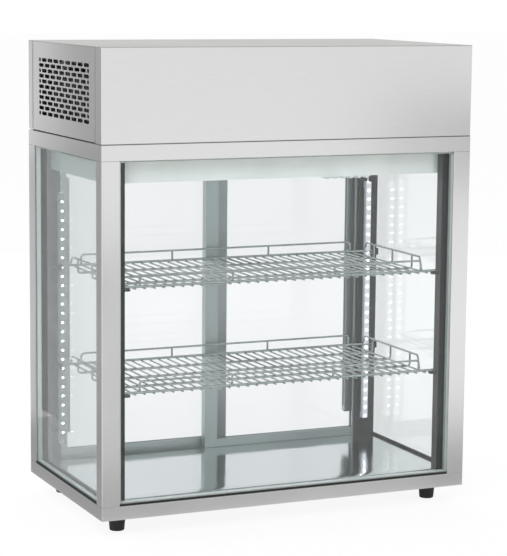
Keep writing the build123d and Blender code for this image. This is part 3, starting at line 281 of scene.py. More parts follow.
def make_grain_group() -> bpy.types.NodeTree:
    """Build the brushed grain: fine hairlines with a slower unevenness over them.

    Returns:
        The group, with a Vector already stretched along the grain and a Fineness.
    """
    inputs = {"Vector": (0.0, 0.0, 0.0), "Fineness": 1.0}
    graph, given, leave = new_group("brushed_grain", inputs, ("Lines", "Patches"))
    fine = graph.add("TexNoise", Vector=given["Vector"], Scale=given["Fineness"], Detail=2.0, Roughness=0.6)
    slow = graph.add("TexNoise", Vector=graph.add("TexCoord").outputs["Object"], Scale=5.0, Detail=2.0)
    graph.fill_all(leave, Lines=fine.outputs[0], Patches=slow.outputs[0])
    return graph.tree


def make_smudge_group() -> bpy.types.NodeTree:
    """Build the handling marks: soft cloudy patches that touch roughness and colour a little.

    Returns:
        The group, with a Size and an output from 0 to 1.
    """
    graph, given, leave = new_group("handling_marks", {"Size": 6.0}, ("Marks",))
    spot = graph.add("TexCoord").outputs["Object"]
    cloud = graph.add("TexNoise", Vector=spot, Scale=given["Size"], Detail=5.0, Roughness=0.62)
    graph.fill(leave, "Marks", graph.span(cloud.outputs[0], *MARKED, *FULL))
    return graph.tree


def make_pebble_group() -> bpy.types.NodeTree:
    """Build the fine pebbled skin of moulded and coated surfaces.

    Returns:
        The group, with a Size and a Height output.
    """
    graph, given, leave = new_group("pebbled_skin", {"Size": 900.0}, ("Height",))
    spot = graph.add("TexCoord").outputs["Object"]
    cells = graph.add("TexVoronoi", {"feature": "SMOOTH_F1"}, Vector=spot, Scale=given["Size"])
    cloud = graph.add("TexNoise", Vector=spot, Scale=given["Size"], Detail=2.0)
    graph.fill(leave, "Height", graph.math("ADD", cells.outputs["Distance"], cloud.outputs[0]))
    return graph.tree


@dataclass(frozen=True)
class Groups:
    """The shader groups that the finishes share."""

    grain: bpy.types.NodeTree
    smudge: bpy.types.NodeTree
    pebble: bpy.types.NodeTree


GROUPS = Groups(make_grain_group(), make_smudge_group(), make_pebble_group())


def hairlines(graph: Graph, stretch: Place, fineness: float) -> dict[str, Socket]:
    """Place the shared brushed grain in a material.

    Args:
        graph: the material's graph.
        stretch: the scale along each axis, small along the grain.
        fineness: how close the hairlines lie.

    Returns:
        The group's Lines and Patches.
    """
    node = graph.add("Group", {"node_tree": GROUPS.grain}, Vector=graph.place(stretch), Fineness=fineness)
    return {name: node.outputs[name] for name in ("Lines", "Patches")}


def handled(graph: Graph, size: float) -> Socket:
    """Place the shared handling marks in a material and return them, from 0 to 1."""
    return graph.add("Group", {"node_tree": GROUPS.smudge}, Size=size).outputs["Marks"]


def new_material(name: str) -> tuple[Material, Graph, Node, Node]:
    """Start a material with an empty tree.

    Args:
        name: the material's name.

    Returns:
        The material, its graph, its surface shader and its output node.
    """
    material = bpy.data.materials.new(name)
    material.use_nodes = True
    material.node_tree.nodes.clear()
    graph = Graph(material.node_tree)
    surface = graph.add("BsdfPrincipled")
    leave = graph.add("OutputMaterial", Surface=surface.outputs[0])
    return material, graph, surface, leave


@dataclass(frozen=True)
class BrushedSteel:
    """Satin stainless sheet with hairlines along one axis and painted shadow lines at its seams, for the
    gaps between parts.
    """

    name: str
    colour: Colour
    along: Axis
    roughness: tuple[float, float] = (0.28, 0.35)
    depth: float = 0.03
    stretch: float = 0.025
    fineness: float = 1800.0
    mark_size: float = 3.5
    contrast: tuple[float, float] = (0.93, 1.05)
    edge: float = 0.9 * MM
    grain_rise: float = 0.4 * MM
    seams: tuple[float, ...] = ()
    seam_width: float = 0.8 * MM
    seam_core: float = 0.6
    seam_share: float = 0.8
    # How dark the painted shadow line at a seam is, as a share of the sheet's colour.
    seam_shadow_tone: float = 0.12

    def build(self) -> Material:
        """Make the material.

        Returns:
            The finished material.
        """
        material, graph, surface, _ = new_material(self.name)
        lines = hairlines(graph, stretched(self.along, self.stretch), self.fineness)["Lines"]
        tint = graph.mixed(lines, *(toned(self.colour, share) for share in self.contrast))
        # Painted shadow: a fine dark line at each seam height stands in for the shade in the gap between
        # parts.
        if self.seams:
            tint = graph.mixed(self.seam_shadow_lines(graph), tint, toned(self.colour, self.seam_shadow_tone))
        marks = handled(graph, self.mark_size)
        fold = graph.add("Bevel", {"samples": 4}, Radius=self.edge).outputs["Normal"]
        graph.fill_all(
            surface,
            Base_Color=tint,
            Metallic=1.0,
            Roughness=graph.span(marks, *FULL, *self.roughness),
            Normal=graph.bump(lines, self.depth, self.grain_rise, fold),
        )
        return material

    def seam_shadow_lines(self, graph: Graph) -> Socket:
        """Paint a fine line of shadow round the sheet at each of the seam heights, where the gap between
        parts falls dark.

        Args:
            graph: the material's graph.

        Returns:
            A value near 1 on the lines and 0 elsewhere.
        """
        height = graph.axes()["Z"]
        lines = 0.0
        for seam in self.seams:
            off = graph.math("ABSOLUTE", graph.math("SUBTRACT", height, seam))
            line = graph.span(off, self.seam_width * self.seam_core, self.seam_width, self.seam_share, 0.0)
            lines = graph.math("MAXIMUM", line, lines)
        return lines


@dataclass(frozen=True)
class PolishedFloor:
    """Bright floor sheet, nearly a mirror, with slow waves, faint lines and a falling front lip."""

    name: str
    colour: Colour
    lip_start: float
    lip_end: float
    roughness: tuple[float, float] = (0.07, 0.15)
    patches: tuple[float, float] = (0.3, 0.7)
    darkest: float = 0.94
    lip_fall: float = 1.6 * MM
    fineness: float = 900.0
    line_stretch: float = 0.02
    line_rise: float = 0.4 * MM
    line_strength: float = 0.02
    wave_stretch: float = 0.45
    wave_scale: float = 16.0
    wave_detail: float = 1.5
    wave_rise: float = 4.0 * MM
    wave_strength: float = 0.16

    def build(self) -> Material:
        """Make the material.

        Returns:
            The finished material.
        """
        material, graph, surface, _ = new_material(self.name)
        grain = hairlines(graph, stretched(Axis.X, self.line_stretch), self.fineness)
        spot = graph.place(stretched(Axis.Y, self.wave_stretch))
        waves = graph.add("TexNoise", Vector=spot, Scale=self.wave_scale, Detail=self.wave_detail).outputs[0]
        fall = graph.math("POWER", graph.span(graph.axes()["Y"], self.lip_start, self.lip_end, *FULL), 2.0)
        lip = graph.add("Bump", {"invert": True}, Strength=1.0, Distance=self.lip_fall, Height=fall)
        swell = graph.bump(waves, self.wave_strength, self.wave_rise, lip.outputs["Normal"])
        graph.fill_all(
            surface,
            Base_Color=graph.mixed(grain["Lines"], toned(self.colour, self.darkest), self.colour),
            Metallic=1.0,
            Roughness=graph.span(grain["Patches"], *self.patches, *self.roughness),
            Normal=graph.bump(grain["Lines"], self.line_strength, self.line_rise, swell),
        )
        return material


@dataclass(frozen=True)
class Anodised:
    """Extruded aluminium with die lines and a satin skin."""

    name: str
    colour: Colour
    along: Axis
    metallic: float = 0.85
    roughness: float = 0.34
    stretch: float = 0.012
    fineness: float = 1400.0
    mark_size: float = 9.0
    wear: float = 0.09
    darkest: float = 0.86
    line_rise: float = 0.4 * MM
    line_strength: float = 0.05

    def build(self) -> Material:
        """Make the material.

        Returns:
            The finished material.
        """
        material, graph, surface, _ = new_material(self.name)
        lines = hairlines(graph, stretched(self.along, self.stretch), self.fineness)["Lines"]
        marks = handled(graph, self.mark_size)
        graph.fill_all(
            surface,
            Base_Color=graph.mixed(lines, toned(self.colour, self.darkest), self.colour),
            Metallic=self.metallic,
            Roughness=graph.span(marks, *FULL, self.roughness, self.roughness + self.wear),
            Normal=graph.bump(lines, self.line_strength, self.line_rise),
        )
        return material


@dataclass(frozen=True)
class ClearGlass:
    """Toughened glass that lets light into the case."""

    name: str
    colour: Colour
    bending: float = 1.35
    haze: float = 0.012
    darkest: float = 0.985
    mark_size: float = 4.0
    ripple_scale: float = 2.2
    ripple_rise: float = 4.0 * MM
    ripple_strength: float = 0.03

    def build(self) -> Material:
        """Make the material.

        Returns:
            The finished material.
        """
        material, graph, surface, leave = new_material(self.name)
        marks = handled(graph, self.mark_size)
        ripple = graph.add("TexNoise", Vector=graph.place(), Scale=self.ripple_scale, Detail=0.0).outputs[0]
        graph.fill_all(
            surface,
            Base_Color=graph.mixed(marks, self.colour, toned(self.colour, self.darkest)),
            Roughness=graph.span(marks, *FULL, 0.0, self.haze),
            IOR=self.bending,
            Transmission_Weight=1.0,
            Normal=graph.bump(ripple, self.ripple_strength, self.ripple_rise),
        )
        rays = graph.add("LightPath")
        open_rays = graph.math("MAXIMUM", rays.outputs["Is Shadow Ray"], rays.outputs["Is Diffuse Ray"])
        clear = graph.add("BsdfTransparent", Color=self.colour)
        graph.fill(leave, "Surface", graph.blended(open_rays, surface.outputs[0], clear.outputs[0]))
        return material


@dataclass(frozen=True)
class Skin:
    """Rubber, moulded plastic or enamel: a pebbled skin with handling marks, and where given, painted shade
    on its ends.
    """

    name: str
    colour: Colour
    roughness: float
    metallic: float = 0.0
    coat: float = 0.0
    pebble: float = 900.0
    relief: float = 0.15
    pebble_rise: float = 0.3 * MM
    mark_size: float = 14.0
    wear: float = 0.12
    bloom: float = 0.004
    shaded_ends: Colour | None = None

    def build(self) -> Material:
        """Make the material.

        Returns:
            The finished material.
        """
        material, graph, surface, _ = new_material(self.name)
        skin = graph.add("Group", {"node_tree": GROUPS.pebble}, Size=self.pebble)
        marks = handled(graph, self.mark_size)
        worn = tuple(min(1.0, value * (1.0 + self.wear) + self.bloom) for value in self.colour)
        tint = graph.mixed(marks, self.colour, worn)
        # Painted shade: the faces that look along X take the darker end colour, for the shade on the ends.
        if self.shaded_ends:
            tint = graph.mixed(graph.sideways(), tint, self.shaded_ends)
        graph.fill_all(
            surface,
            Base_Color=tint,
            Metallic=self.metallic,
            Roughness=graph.span(marks, *FULL, self.roughness, min(1.0, self.roughness + self.wear)),
            Coat_Weight=self.coat,
            Normal=graph.bump(skin.outputs["Height"], self.relief, self.pebble_rise),
        )
        return material


@dataclass(frozen=True)
class DrawnMetal:
    """Drawn wire, tube or plated screw: bright metal with a faint cloud over it."""

    name: str
    colour: Colour
    roughness: float = 0.12
    mark_size: float = 60.0
    darkest: float = 0.8
    wear: float = 0.12

    def build(self) -> Material:
        """Make the material.

        Returns:
            The finished material.
        """
        material, graph, surface, _ = new_material(self.name)
        marks = handled(graph, self.mark_size)
        graph.fill_all(
            surface,
            Base_Color=graph.mixed(marks, self.colour, toned(self.colour, self.darkest)),
            Metallic=1.0,
            Roughness=graph.span(marks, *FULL, self.roughness, self.roughness + self.wear),
        )
        return material


@dataclass(frozen=True)
class SpacerBar:
    """Aluminium spacer between two panes, with its row of fine breathing holes, and painted shade on its
    faces that look along X.
    """

    name: str
    colour: Colour
    shaded_side_colour: Colour
    pitch: float = 2.9 * MM
    mark_size: float = 40.0
    hole_tone: float = 0.35
    hole_range: tuple[float, float] = (0.2, 0.7)
    faintest: float = 0.7
    metallic: float = 0.2
    roughness: tuple[float, float] = (0.35, 0.6)

    def build(self) -> Material:
        """Make the material.

        Returns:
            The finished material.
        """
        material, graph, surface, _ = new_material(self.name)
        # Painted shade: the faces that look along X, on the side windows, take the darker side colour.
        bare = graph.mixed(graph.sideways(), self.colour, self.shaded_side_colour)
        turns = graph.add("SeparateXYZ", Vector=graph.place((2 * math.pi / self.pitch,) * 3))
        waves = [graph.math("SINE", turns.outputs[name]) for name in "XYZ"]
        dots = graph.math("MULTIPLY", graph.math("ADD", waves[0], waves[1]), waves[2])
        holes = graph.span(dots, *self.hole_range, *FULL)
        fading = graph.span(handled(graph, self.mark_size), *FULL, 1.0, self.faintest)
        soft = graph.math("MULTIPLY", holes, fading)
        graph.fill_all(
            surface,
            Base_Color=graph.mixed(soft, bare, toned(self.shaded_side_colour, self.hole_tone)),
            Metallic=self.metallic,
            Roughness=graph.span(soft, *FULL, *self.roughness),
        )
        return material


@dataclass(frozen=True)
class FinPack:
    """Aluminium fins in close rows, with painted shade in the gaps between them."""

    name: str
    colour: Colour
    pitch: float = 2.4 * MM
    fin_rise: float = 0.6 * MM
    fin_strength: float = 0.4
    gap_shade_tone: float = 0.4
    gap_range: tuple[float, float] = (-0.3, 0.8)
    metallic: float = 0.9
    mark_size: float = 30.0
    roughness: tuple[float, float] = (0.38, 0.55)

    def build(self) -> Material:
        """Make the material.

        Returns:
            The finished material.
        """
        material, graph, surface, _ = new_material(self.name)
        rows = graph.math("SINE", graph.math("MULTIPLY", graph.axes()["Y"], 2 * math.pi / self.pitch))
        gaps = graph.span(rows, *self.gap_range, *FULL)
        # Painted shade: the gaps between the fins take a darker colour.
        graph.fill_all(
            surface,
            Base_Color=graph.mixed(gaps, toned(self.colour, self.gap_shade_tone), self.colour),
            Metallic=self.metallic,
            Roughness=graph.span(handled(graph, self.mark_size), *FULL, *self.roughness),
            Normal=graph.bump(gaps, self.fin_strength, self.fin_rise),
        )
        return material


@dataclass(frozen=True)
class Lit:
    """A lit surface: a chip's lens or a display's digits."""

    name: str
    colour: Colour
    glow: Colour
    strength: float
    roughness: float = 0.3
    mark_size: float = 220.0
    dimmest: float = 0.92

    def build(self) -> Material:
        """Make the material.

        Returns:
            The finished material.
        """
        material, graph, surface, _ = new_material(self.name)
        marks = handled(graph, self.mark_size)
        dimmer = toned(self.glow, self.dimmest)
        graph.fill_all(
            surface,
            Base_Color=graph.mixed(marks, self.colour, dimmer),
            Roughness=self.roughness,
            Emission_Color=graph.mixed(marks, self.glow, dimmer),
            Emission_Strength=self.strength,
        )
        return material


@dataclass(frozen=True)
class ChipStrip:
    """A light strip that glows round each of its chips, and more on its front than on its sides."""

    name: str
    colour: Colour
    glow: Colour
    middle: float
    first: float
    pitch: float
    reach: float = 6.5 * MM
    base: float = 0.05
    front: float = 0.35
    peak: float = 1.3
    mark_size: float = 90.0
    roughness: float = 0.4
    darkest: float = 0.95

    def build(self) -> Material:
        """Make the material.

        Returns:
            The finished material.
        """
        material, graph, surface, _ = new_material(self.name)
        axes = graph.axes()
        across = graph.math("SUBTRACT", graph.math("ABSOLUTE", axes["X"]), self.middle)
        steps = graph.math("DIVIDE", graph.math("SUBTRACT", axes["Z"], self.first), self.pitch)
        off = graph.math("SUBTRACT", steps, graph.math("ROUND", steps))
        along = graph.math("MULTIPLY", off, self.pitch)
        squares = [graph.math("MULTIPLY", value, value) for value in (across, along)]
        far = graph.math("SQRT", graph.math("ADD", *squares))
        near = graph.math("POWER", graph.span(far, 0.0, self.reach, 1.0, 0.0), 2.0)
        plain = graph.span(graph.axes("Normal")["Y"], 0.0, -1.0, self.base, self.front)
        marks = handled(graph, self.mark_size)
        graph.fill_all(
            surface,
            Base_Color=graph.mixed(marks, self.colour, toned(self.colour, self.darkest)),
            Roughness=self.roughness,
            Emission_Color=self.glow,
            Emission_Strength=graph.math("ADD", plain, graph.math("MULTIPLY", near, self.peak)),
        )
        return material


def add_object(name: str, mesh: Mesh, material: Material) -> bpy.types.Object:
    """Turn a finished bmesh into an object of the scene.

    Args:
        name: the object's name.
        mesh: its shape, already in place; it is used up.
        material: its finish.

    Returns:
        The object.
    """
    data = bpy.data.meshes.new(name)
    mesh.to_mesh(data)
    mesh.free()
    data.materials.append(material)
    item = bpy.data.objects.new(name, data)
    bpy.context.scene.collection.objects.link(item)
    return item


def piece(name: str, mesh: Mesh, material: Material, body: str) -> None:
    """Turn a finished bmesh into a named piece that rides on a body.

    Args:
        name: the piece's name.
        mesh: its shape, already in place; it is used up.
        material: its finish.
        body: the body that it moves with.
    """
    bmesh.ops.recalc_face_normals(mesh, faces=mesh.faces)
    item = add_object(name, mesh, material)
    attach(item, body)
    log.info("piece %s: %d faces on %s", name, len(item.data.polygons), body)


def add_block(mesh: Mesh, low: Vector, high: Vector, rounding: float = 0.0) -> None:
    """Add a block with rounded edges to a bmesh.

    Args:
        mesh: the bmesh that it goes into.
        low: its lowest corner, in metres.
        high: its highest corner.
        rounding: the width of its rounded edges.
    """
    middle = (low + high) / 2
    size = high - low
    place = Matrix.Translation(middle) @ Matrix.Diagonal((*size, 1.0))
    made = bmesh.ops.create_cube(mesh, size=1.0, matrix=place)["verts"]
    if rounding > 0:
        edges = list({edge for vertex in made for edge in vertex.link_edges})
        bmesh.ops.bevel(
            mesh, geom=edges, offset=rounding, segments=2, profile=0.5, affect="EDGES", material=-1
        )


def turned(low: Vector, high: Vector) -> bool:
    """Say whether a box is longer in depth than in height, as a screw along Y is."""
    return high.y - low.y > high.z - low.z


def solid_boxes(node: str) -> list[tuple[Vector, Vector]]:
    """Find the box of each separate solid in a node.

    Args:
        node: the node's name.

    Returns:
        The lowest and highest corner of each solid.
    """
    mesh = bmesh.new()
    mesh.from_mesh(frame["nodes"][node].data)
    bmesh.ops.remove_doubles(mesh, verts=mesh.verts, dist=WELD)
    boxes = []
    waiting = set(mesh.verts)
    while waiting:
        front = [waiting.pop()]
        low, high = front[0].co.copy(), front[0].co.copy()
        while front:
            vertex = front.pop()
            low = Vector(map(min, low, vertex.co))
            high = Vector(map(max, high, vertex.co))
            near = {edge.other_vert(vertex) for edge in vertex.link_edges} & waiting
            waiting -= near
            front.extend(near)
        boxes.append((low, high))
    mesh.free()
    return boxes


def dress(material: Material, names: Sequence[str]) -> None:
    """Give one finish to the named nodes of the frame.

    Args:
        material: the finish.
        names: the nodes.
    """
    for name in names:
        slots = frame["nodes"][name].data.materials
        slots.clear()
        slots.append(material)
        log.info("dressed %s with %s", name, material.name)


@dataclass
class Carcass:
    """The stainless frame of the case: feet, base, posts, top frame and floor."""

    panel: Colour = shade("E6E7E6")
    floor: Colour = shade("D6DDDD")
    rubber: Colour = shade("1A1A1A")
    foam: Colour = shade("D8C08A")
    lip_depth: float = 30.0 * MM
    seam_width: float = 0.6 * MM

    def dress(self) -> None:
        """Give the frame its finishes."""
        posts = [f"post_{end}_{side}" for end in ("front", "rear") for side in SIDES]
        # Painted shadow lines at the top and the foot of each post, for the gaps to the frames.
        seams = tuple(corner.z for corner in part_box("post_front_left"))
        upright = BrushedSteel("steel_upright", self.panel, Axis.Z, seams=seams, seam_width=self.seam_width)
        dress(upright.build(), posts)
        level = BrushedSteel("steel_level", self.panel, Axis.X)
        dress(level.build(), ["base_frame", "top_frame", "bottom_plate"])
        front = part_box("floor_pan")[0].y
        floor = PolishedFloor("steel_floor", self.floor, front + self.lip_depth, front)
        dress(floor.build(), ["floor_pan"])
        dress(Skin("foot_rubber", self.rubber, roughness=0.7).build(), ["feet", "compressor_grommets"])
        foam = Skin("foam_core", self.foam, roughness=0.9, pebble=500.0, relief=0.5)
        dress(foam.build(), ["insulation_slabs"])


@dataclass
class Glazing:
    """The double glazing with its spacers, gaskets and dark corner trims."""

    glass: Colour = shade("FDFEFE")
    # The left panes' glass a little darker than the same glass elsewhere, painted shade for the shaded left
    # side.
    left_shaded: Colour = shade("F6F9F9")
    spacer: Colour = shade("E4ECEA")
    # The side windows' spacers in a darker tone, painted shade.
    side_spacer_shade: Colour = shade("A9B4B1")
    seal: Colour = shade("161616")
    trim: Colour = shade("1E2123")

    def dress(self) -> None:
        """Give the glazing its finishes."""
        dress(ClearGlass("clear_glass", self.glass).build(), ["front_panes", "right_panes"])
        # Painted shade: the left panes take the darker glass.
        dress(ClearGlass("left_shaded_glass", self.left_shaded).build(), ["left_panes"])
        dress(SpacerBar("spacer_bar", self.spacer, self.side_spacer_shade).build(), ["pane_spacers"])
        dress(Skin("seal_rubber", self.seal, roughness=0.55).build(), ["rubber_seals"])
        trim = Anodised("dark_trim", self.trim, Axis.Z, metallic=0.15, roughness=0.32)
        dress(trim.build(), ["front_corner_trims", *(f"rear_jamb_{side}" for side in SIDES)])


@dataclass
class Doors:
    """The two rear sliding doors, their pulls and glides, and the two tracks."""

    metal: Colour = shade("B3BFBF")
    glass: Colour = shade("F5F5F7")
    nylon: Colour = shade("E4E2DA")

    def dress(self) -> None:
        """Give the doors their finishes."""
        upright = Anodised("door_metal", self.metal, Axis.Z).build()
        level = Anodised("track_metal", self.metal, Axis.X).build()
        dress(upright, [f"{side}_door_{part}" for side in SIDES for part in ("frame", "pull")])
        dress(level, ["bottom_track", "top_track"])
        dress(ClearGlass("door_glass", self.glass).build(), [f"{side}_door_glass" for side in SIDES])
        dress(Skin("glide_nylon", self.nylon, 0.45).build(), [f"{side}_door_glides" for side in SIDES])


@dataclass
class LightStrips:
    """The two light bars at the rear corners, with a glowing lens on every chip."""

    lens: Colour = shade("EEEEF2")
    diffuser: Colour = shade("BDC0C4")
    # The left bar's diffuser in a darker colour, painted shade.
    shaded_dull: Colour = shade("8E9896")
    cool_glow: Colour = shade("F3F1FB")
    chip_count: int = 26
    chip_pitch: float = 16.67 * MM
    first_above_end: float = 21.0 * MM
    lens_width: float = 2.8 * MM
    lens_rise: float = 0.7 * MM
    lens_rounding: float = 0.42 * MM
    strength: float = 16.0

    def dress(self) -> None:
        """Give the bars their finishes, the left one darker as painted shade and with a weaker glow, and add
        the lenses.
        """
        low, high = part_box("led_bar_right")
        middle, first = (low.x + high.x) / 2, low.z + self.first_above_end
        bar = ChipStrip("led_bar", self.diffuser, self.cool_glow, middle, first, self.chip_pitch)
        # The left bar: the same bar in the darker colour, painted shade, with a weaker glow round its chips.
        shaded_dull = replace(
            bar, name="led_bar_shaded_dull", colour=self.shaded_dull, reach=4.5 * MM, base=0.0, front=0.0, peak=0.7
        )
        dress(bar.build(), ["led_bar_right"])
        dress(shaded_dull.build(), ["led_bar_left"])
        lens = Lit("led_lens", self.lens, WHITE, self.strength).build()
        for side in SIDES:
            self.add_lenses(side, lens)

    def add_lenses(self, side: str, material: Material) -> None:
        """Add the row of lenses of one bar.

        Args:
            side: left or right.
            material: the lit finish.
        """
        low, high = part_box(f"led_bar_{side}")
        size = Vector((self.lens_width, self.lens_rise, self.lens_width))
        spot = Vector(((low.x + high.x) / 2, low.y - self.lens_rise / 2, low.z + self.first_above_end))
        mesh = bmesh.new()
        for _ in range(self.chip_count):
            add_block(mesh, spot - size / 2, spot + size / 2, self.lens_rounding)
            spot.z += self.chip_pitch
        piece(f"led_lenses_{side}", mesh, material, "case")


@dataclass
class Shelves:
    """The two wire shelves with their rails and supports."""

    wire: Colour = shade("AEB8B6")
    bracket: Colour = shade("232425")

    def dress(self) -> None:
        """Give the shelves their finishes."""
        names = [f"{level}_{part}" for level in ("upper", "lower") for part in ("shelf", "shelf_rails")]
        dress(DrawnMetal("shelf_chrome", self.wire, roughness=0.16).build(), names)
        dress(Skin("bracket_black", self.bracket, roughness=0.5).build(), ["shelf_brackets"])


@dataclass
class ColdSystem:
    """The evaporator under the ceiling and the machine in the header."""

    pan: Colour = shade("DADFDD")
    # The cover's end faces in a darker tone, painted shade.
    pan_end_shade: Colour = shade("8F9A97")
    coil: Colour = shade("B8BBBC")
    enamel: Colour = shade("1B1B1D")
    motor: Colour = shade("4A4B4D")
    plastic: Colour = shade("2A2A2B")
    copper: Colour = shade("C87F5C")

    def dress(self) -> None:
        """Give the cold system its finishes."""
        pan = Skin("coated_pan", self.pan, 0.38, coat=0.3, pebble=1500.0, relief=0.04, shaded_ends=self.pan_end_shade)
        dress(pan.build(), ["evaporator_cover"])
        enamel = Skin("compressor_enamel", self.enamel, 0.25, coat=0.4, pebble=300.0, relief=0.05)
        dress(enamel.build(), ["compressor"])
        fins = FinPack("coil_fins", self.coil).build()
        plastic = Skin("fan_plastic", self.plastic, roughness=0.45).build()
        for unit in ("evaporator", "condenser"):
            dress(fins, [f"{unit}_coil"])
            dress(plastic, [f"{unit}_fan_blade"])
        dress(Skin("motor_steel", self.motor, roughness=0.4, metallic=0.6).build(), ["fan_motors"])
        dress(DrawnMetal("copper_tube", self.copper, roughness=0.25).build(), ["refrigerant_lines"])


@dataclass
class MachineHeader:
    """The stainless covers round the machine compartment."""

    panel: Colour = shade("E6E7E6")
    # The top panel's steel in a darker colour than the covers, painted shade for the dimmer light on the
    # top.
    shaded_roof: Colour = shade("B4B4B2")
    # The colour of the dark strips that paint the shadow in the joint gaps.
    joint: Colour = shade("2A2A2B")
    joint_width: float = 2.2 * MM
    joint_step: float = 0.8 * MM
    rounding: float = 0.2
    hem_width: float = 1.6 * MM

    def dress(self) -> None:
        """Give the covers their finishes and put painted shadow strips in the joints between them."""
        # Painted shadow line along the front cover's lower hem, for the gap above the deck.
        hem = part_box("header_front_cover")[0].z
        header = BrushedSteel("steel_header", self.panel, Axis.X, seams=(hem,), seam_width=self.hem_width)
        dress(header.build(), ["header_front_cover", "rear_cover"])
        side = BrushedSteel("steel_header_side", self.panel, Axis.Y)
        dress(side.build(), [*(f"{side_name}_grille_panel" for side_name in SIDES), "machine_deck"])
        # Painted shade: the top panel takes the darker roof colour.
        dress(BrushedSteel("steel_shaded_roof", self.shaded_roof, Axis.X).build(), ["header_top_panel"])
        self.add_joint_shadows(Skin("joint_shadow", self.joint, roughness=0.7).build())

    def add_joint_shadows(self, material: Material) -> None:
        """Add dark strips in the joints between the front cover and the side panels, as painted shadow for
        the gaps there.

        Args:
            material: the strips' finish.
        """
        mesh = bmesh.new()
        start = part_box("header_front_cover")[1].y
        for side in SIDES:
            low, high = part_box(f"{side}_grille_panel")
            face = low.x if side == "left" else high.x
            corner = Vector((face - self.joint_step, start, low.z))
            far = Vector((face + self.joint_step, start + self.joint_width, high.z))
            add_block(mesh, corner, far, self.joint_step * self.rounding)
        piece("header_joint_shadows", mesh, material, "case")


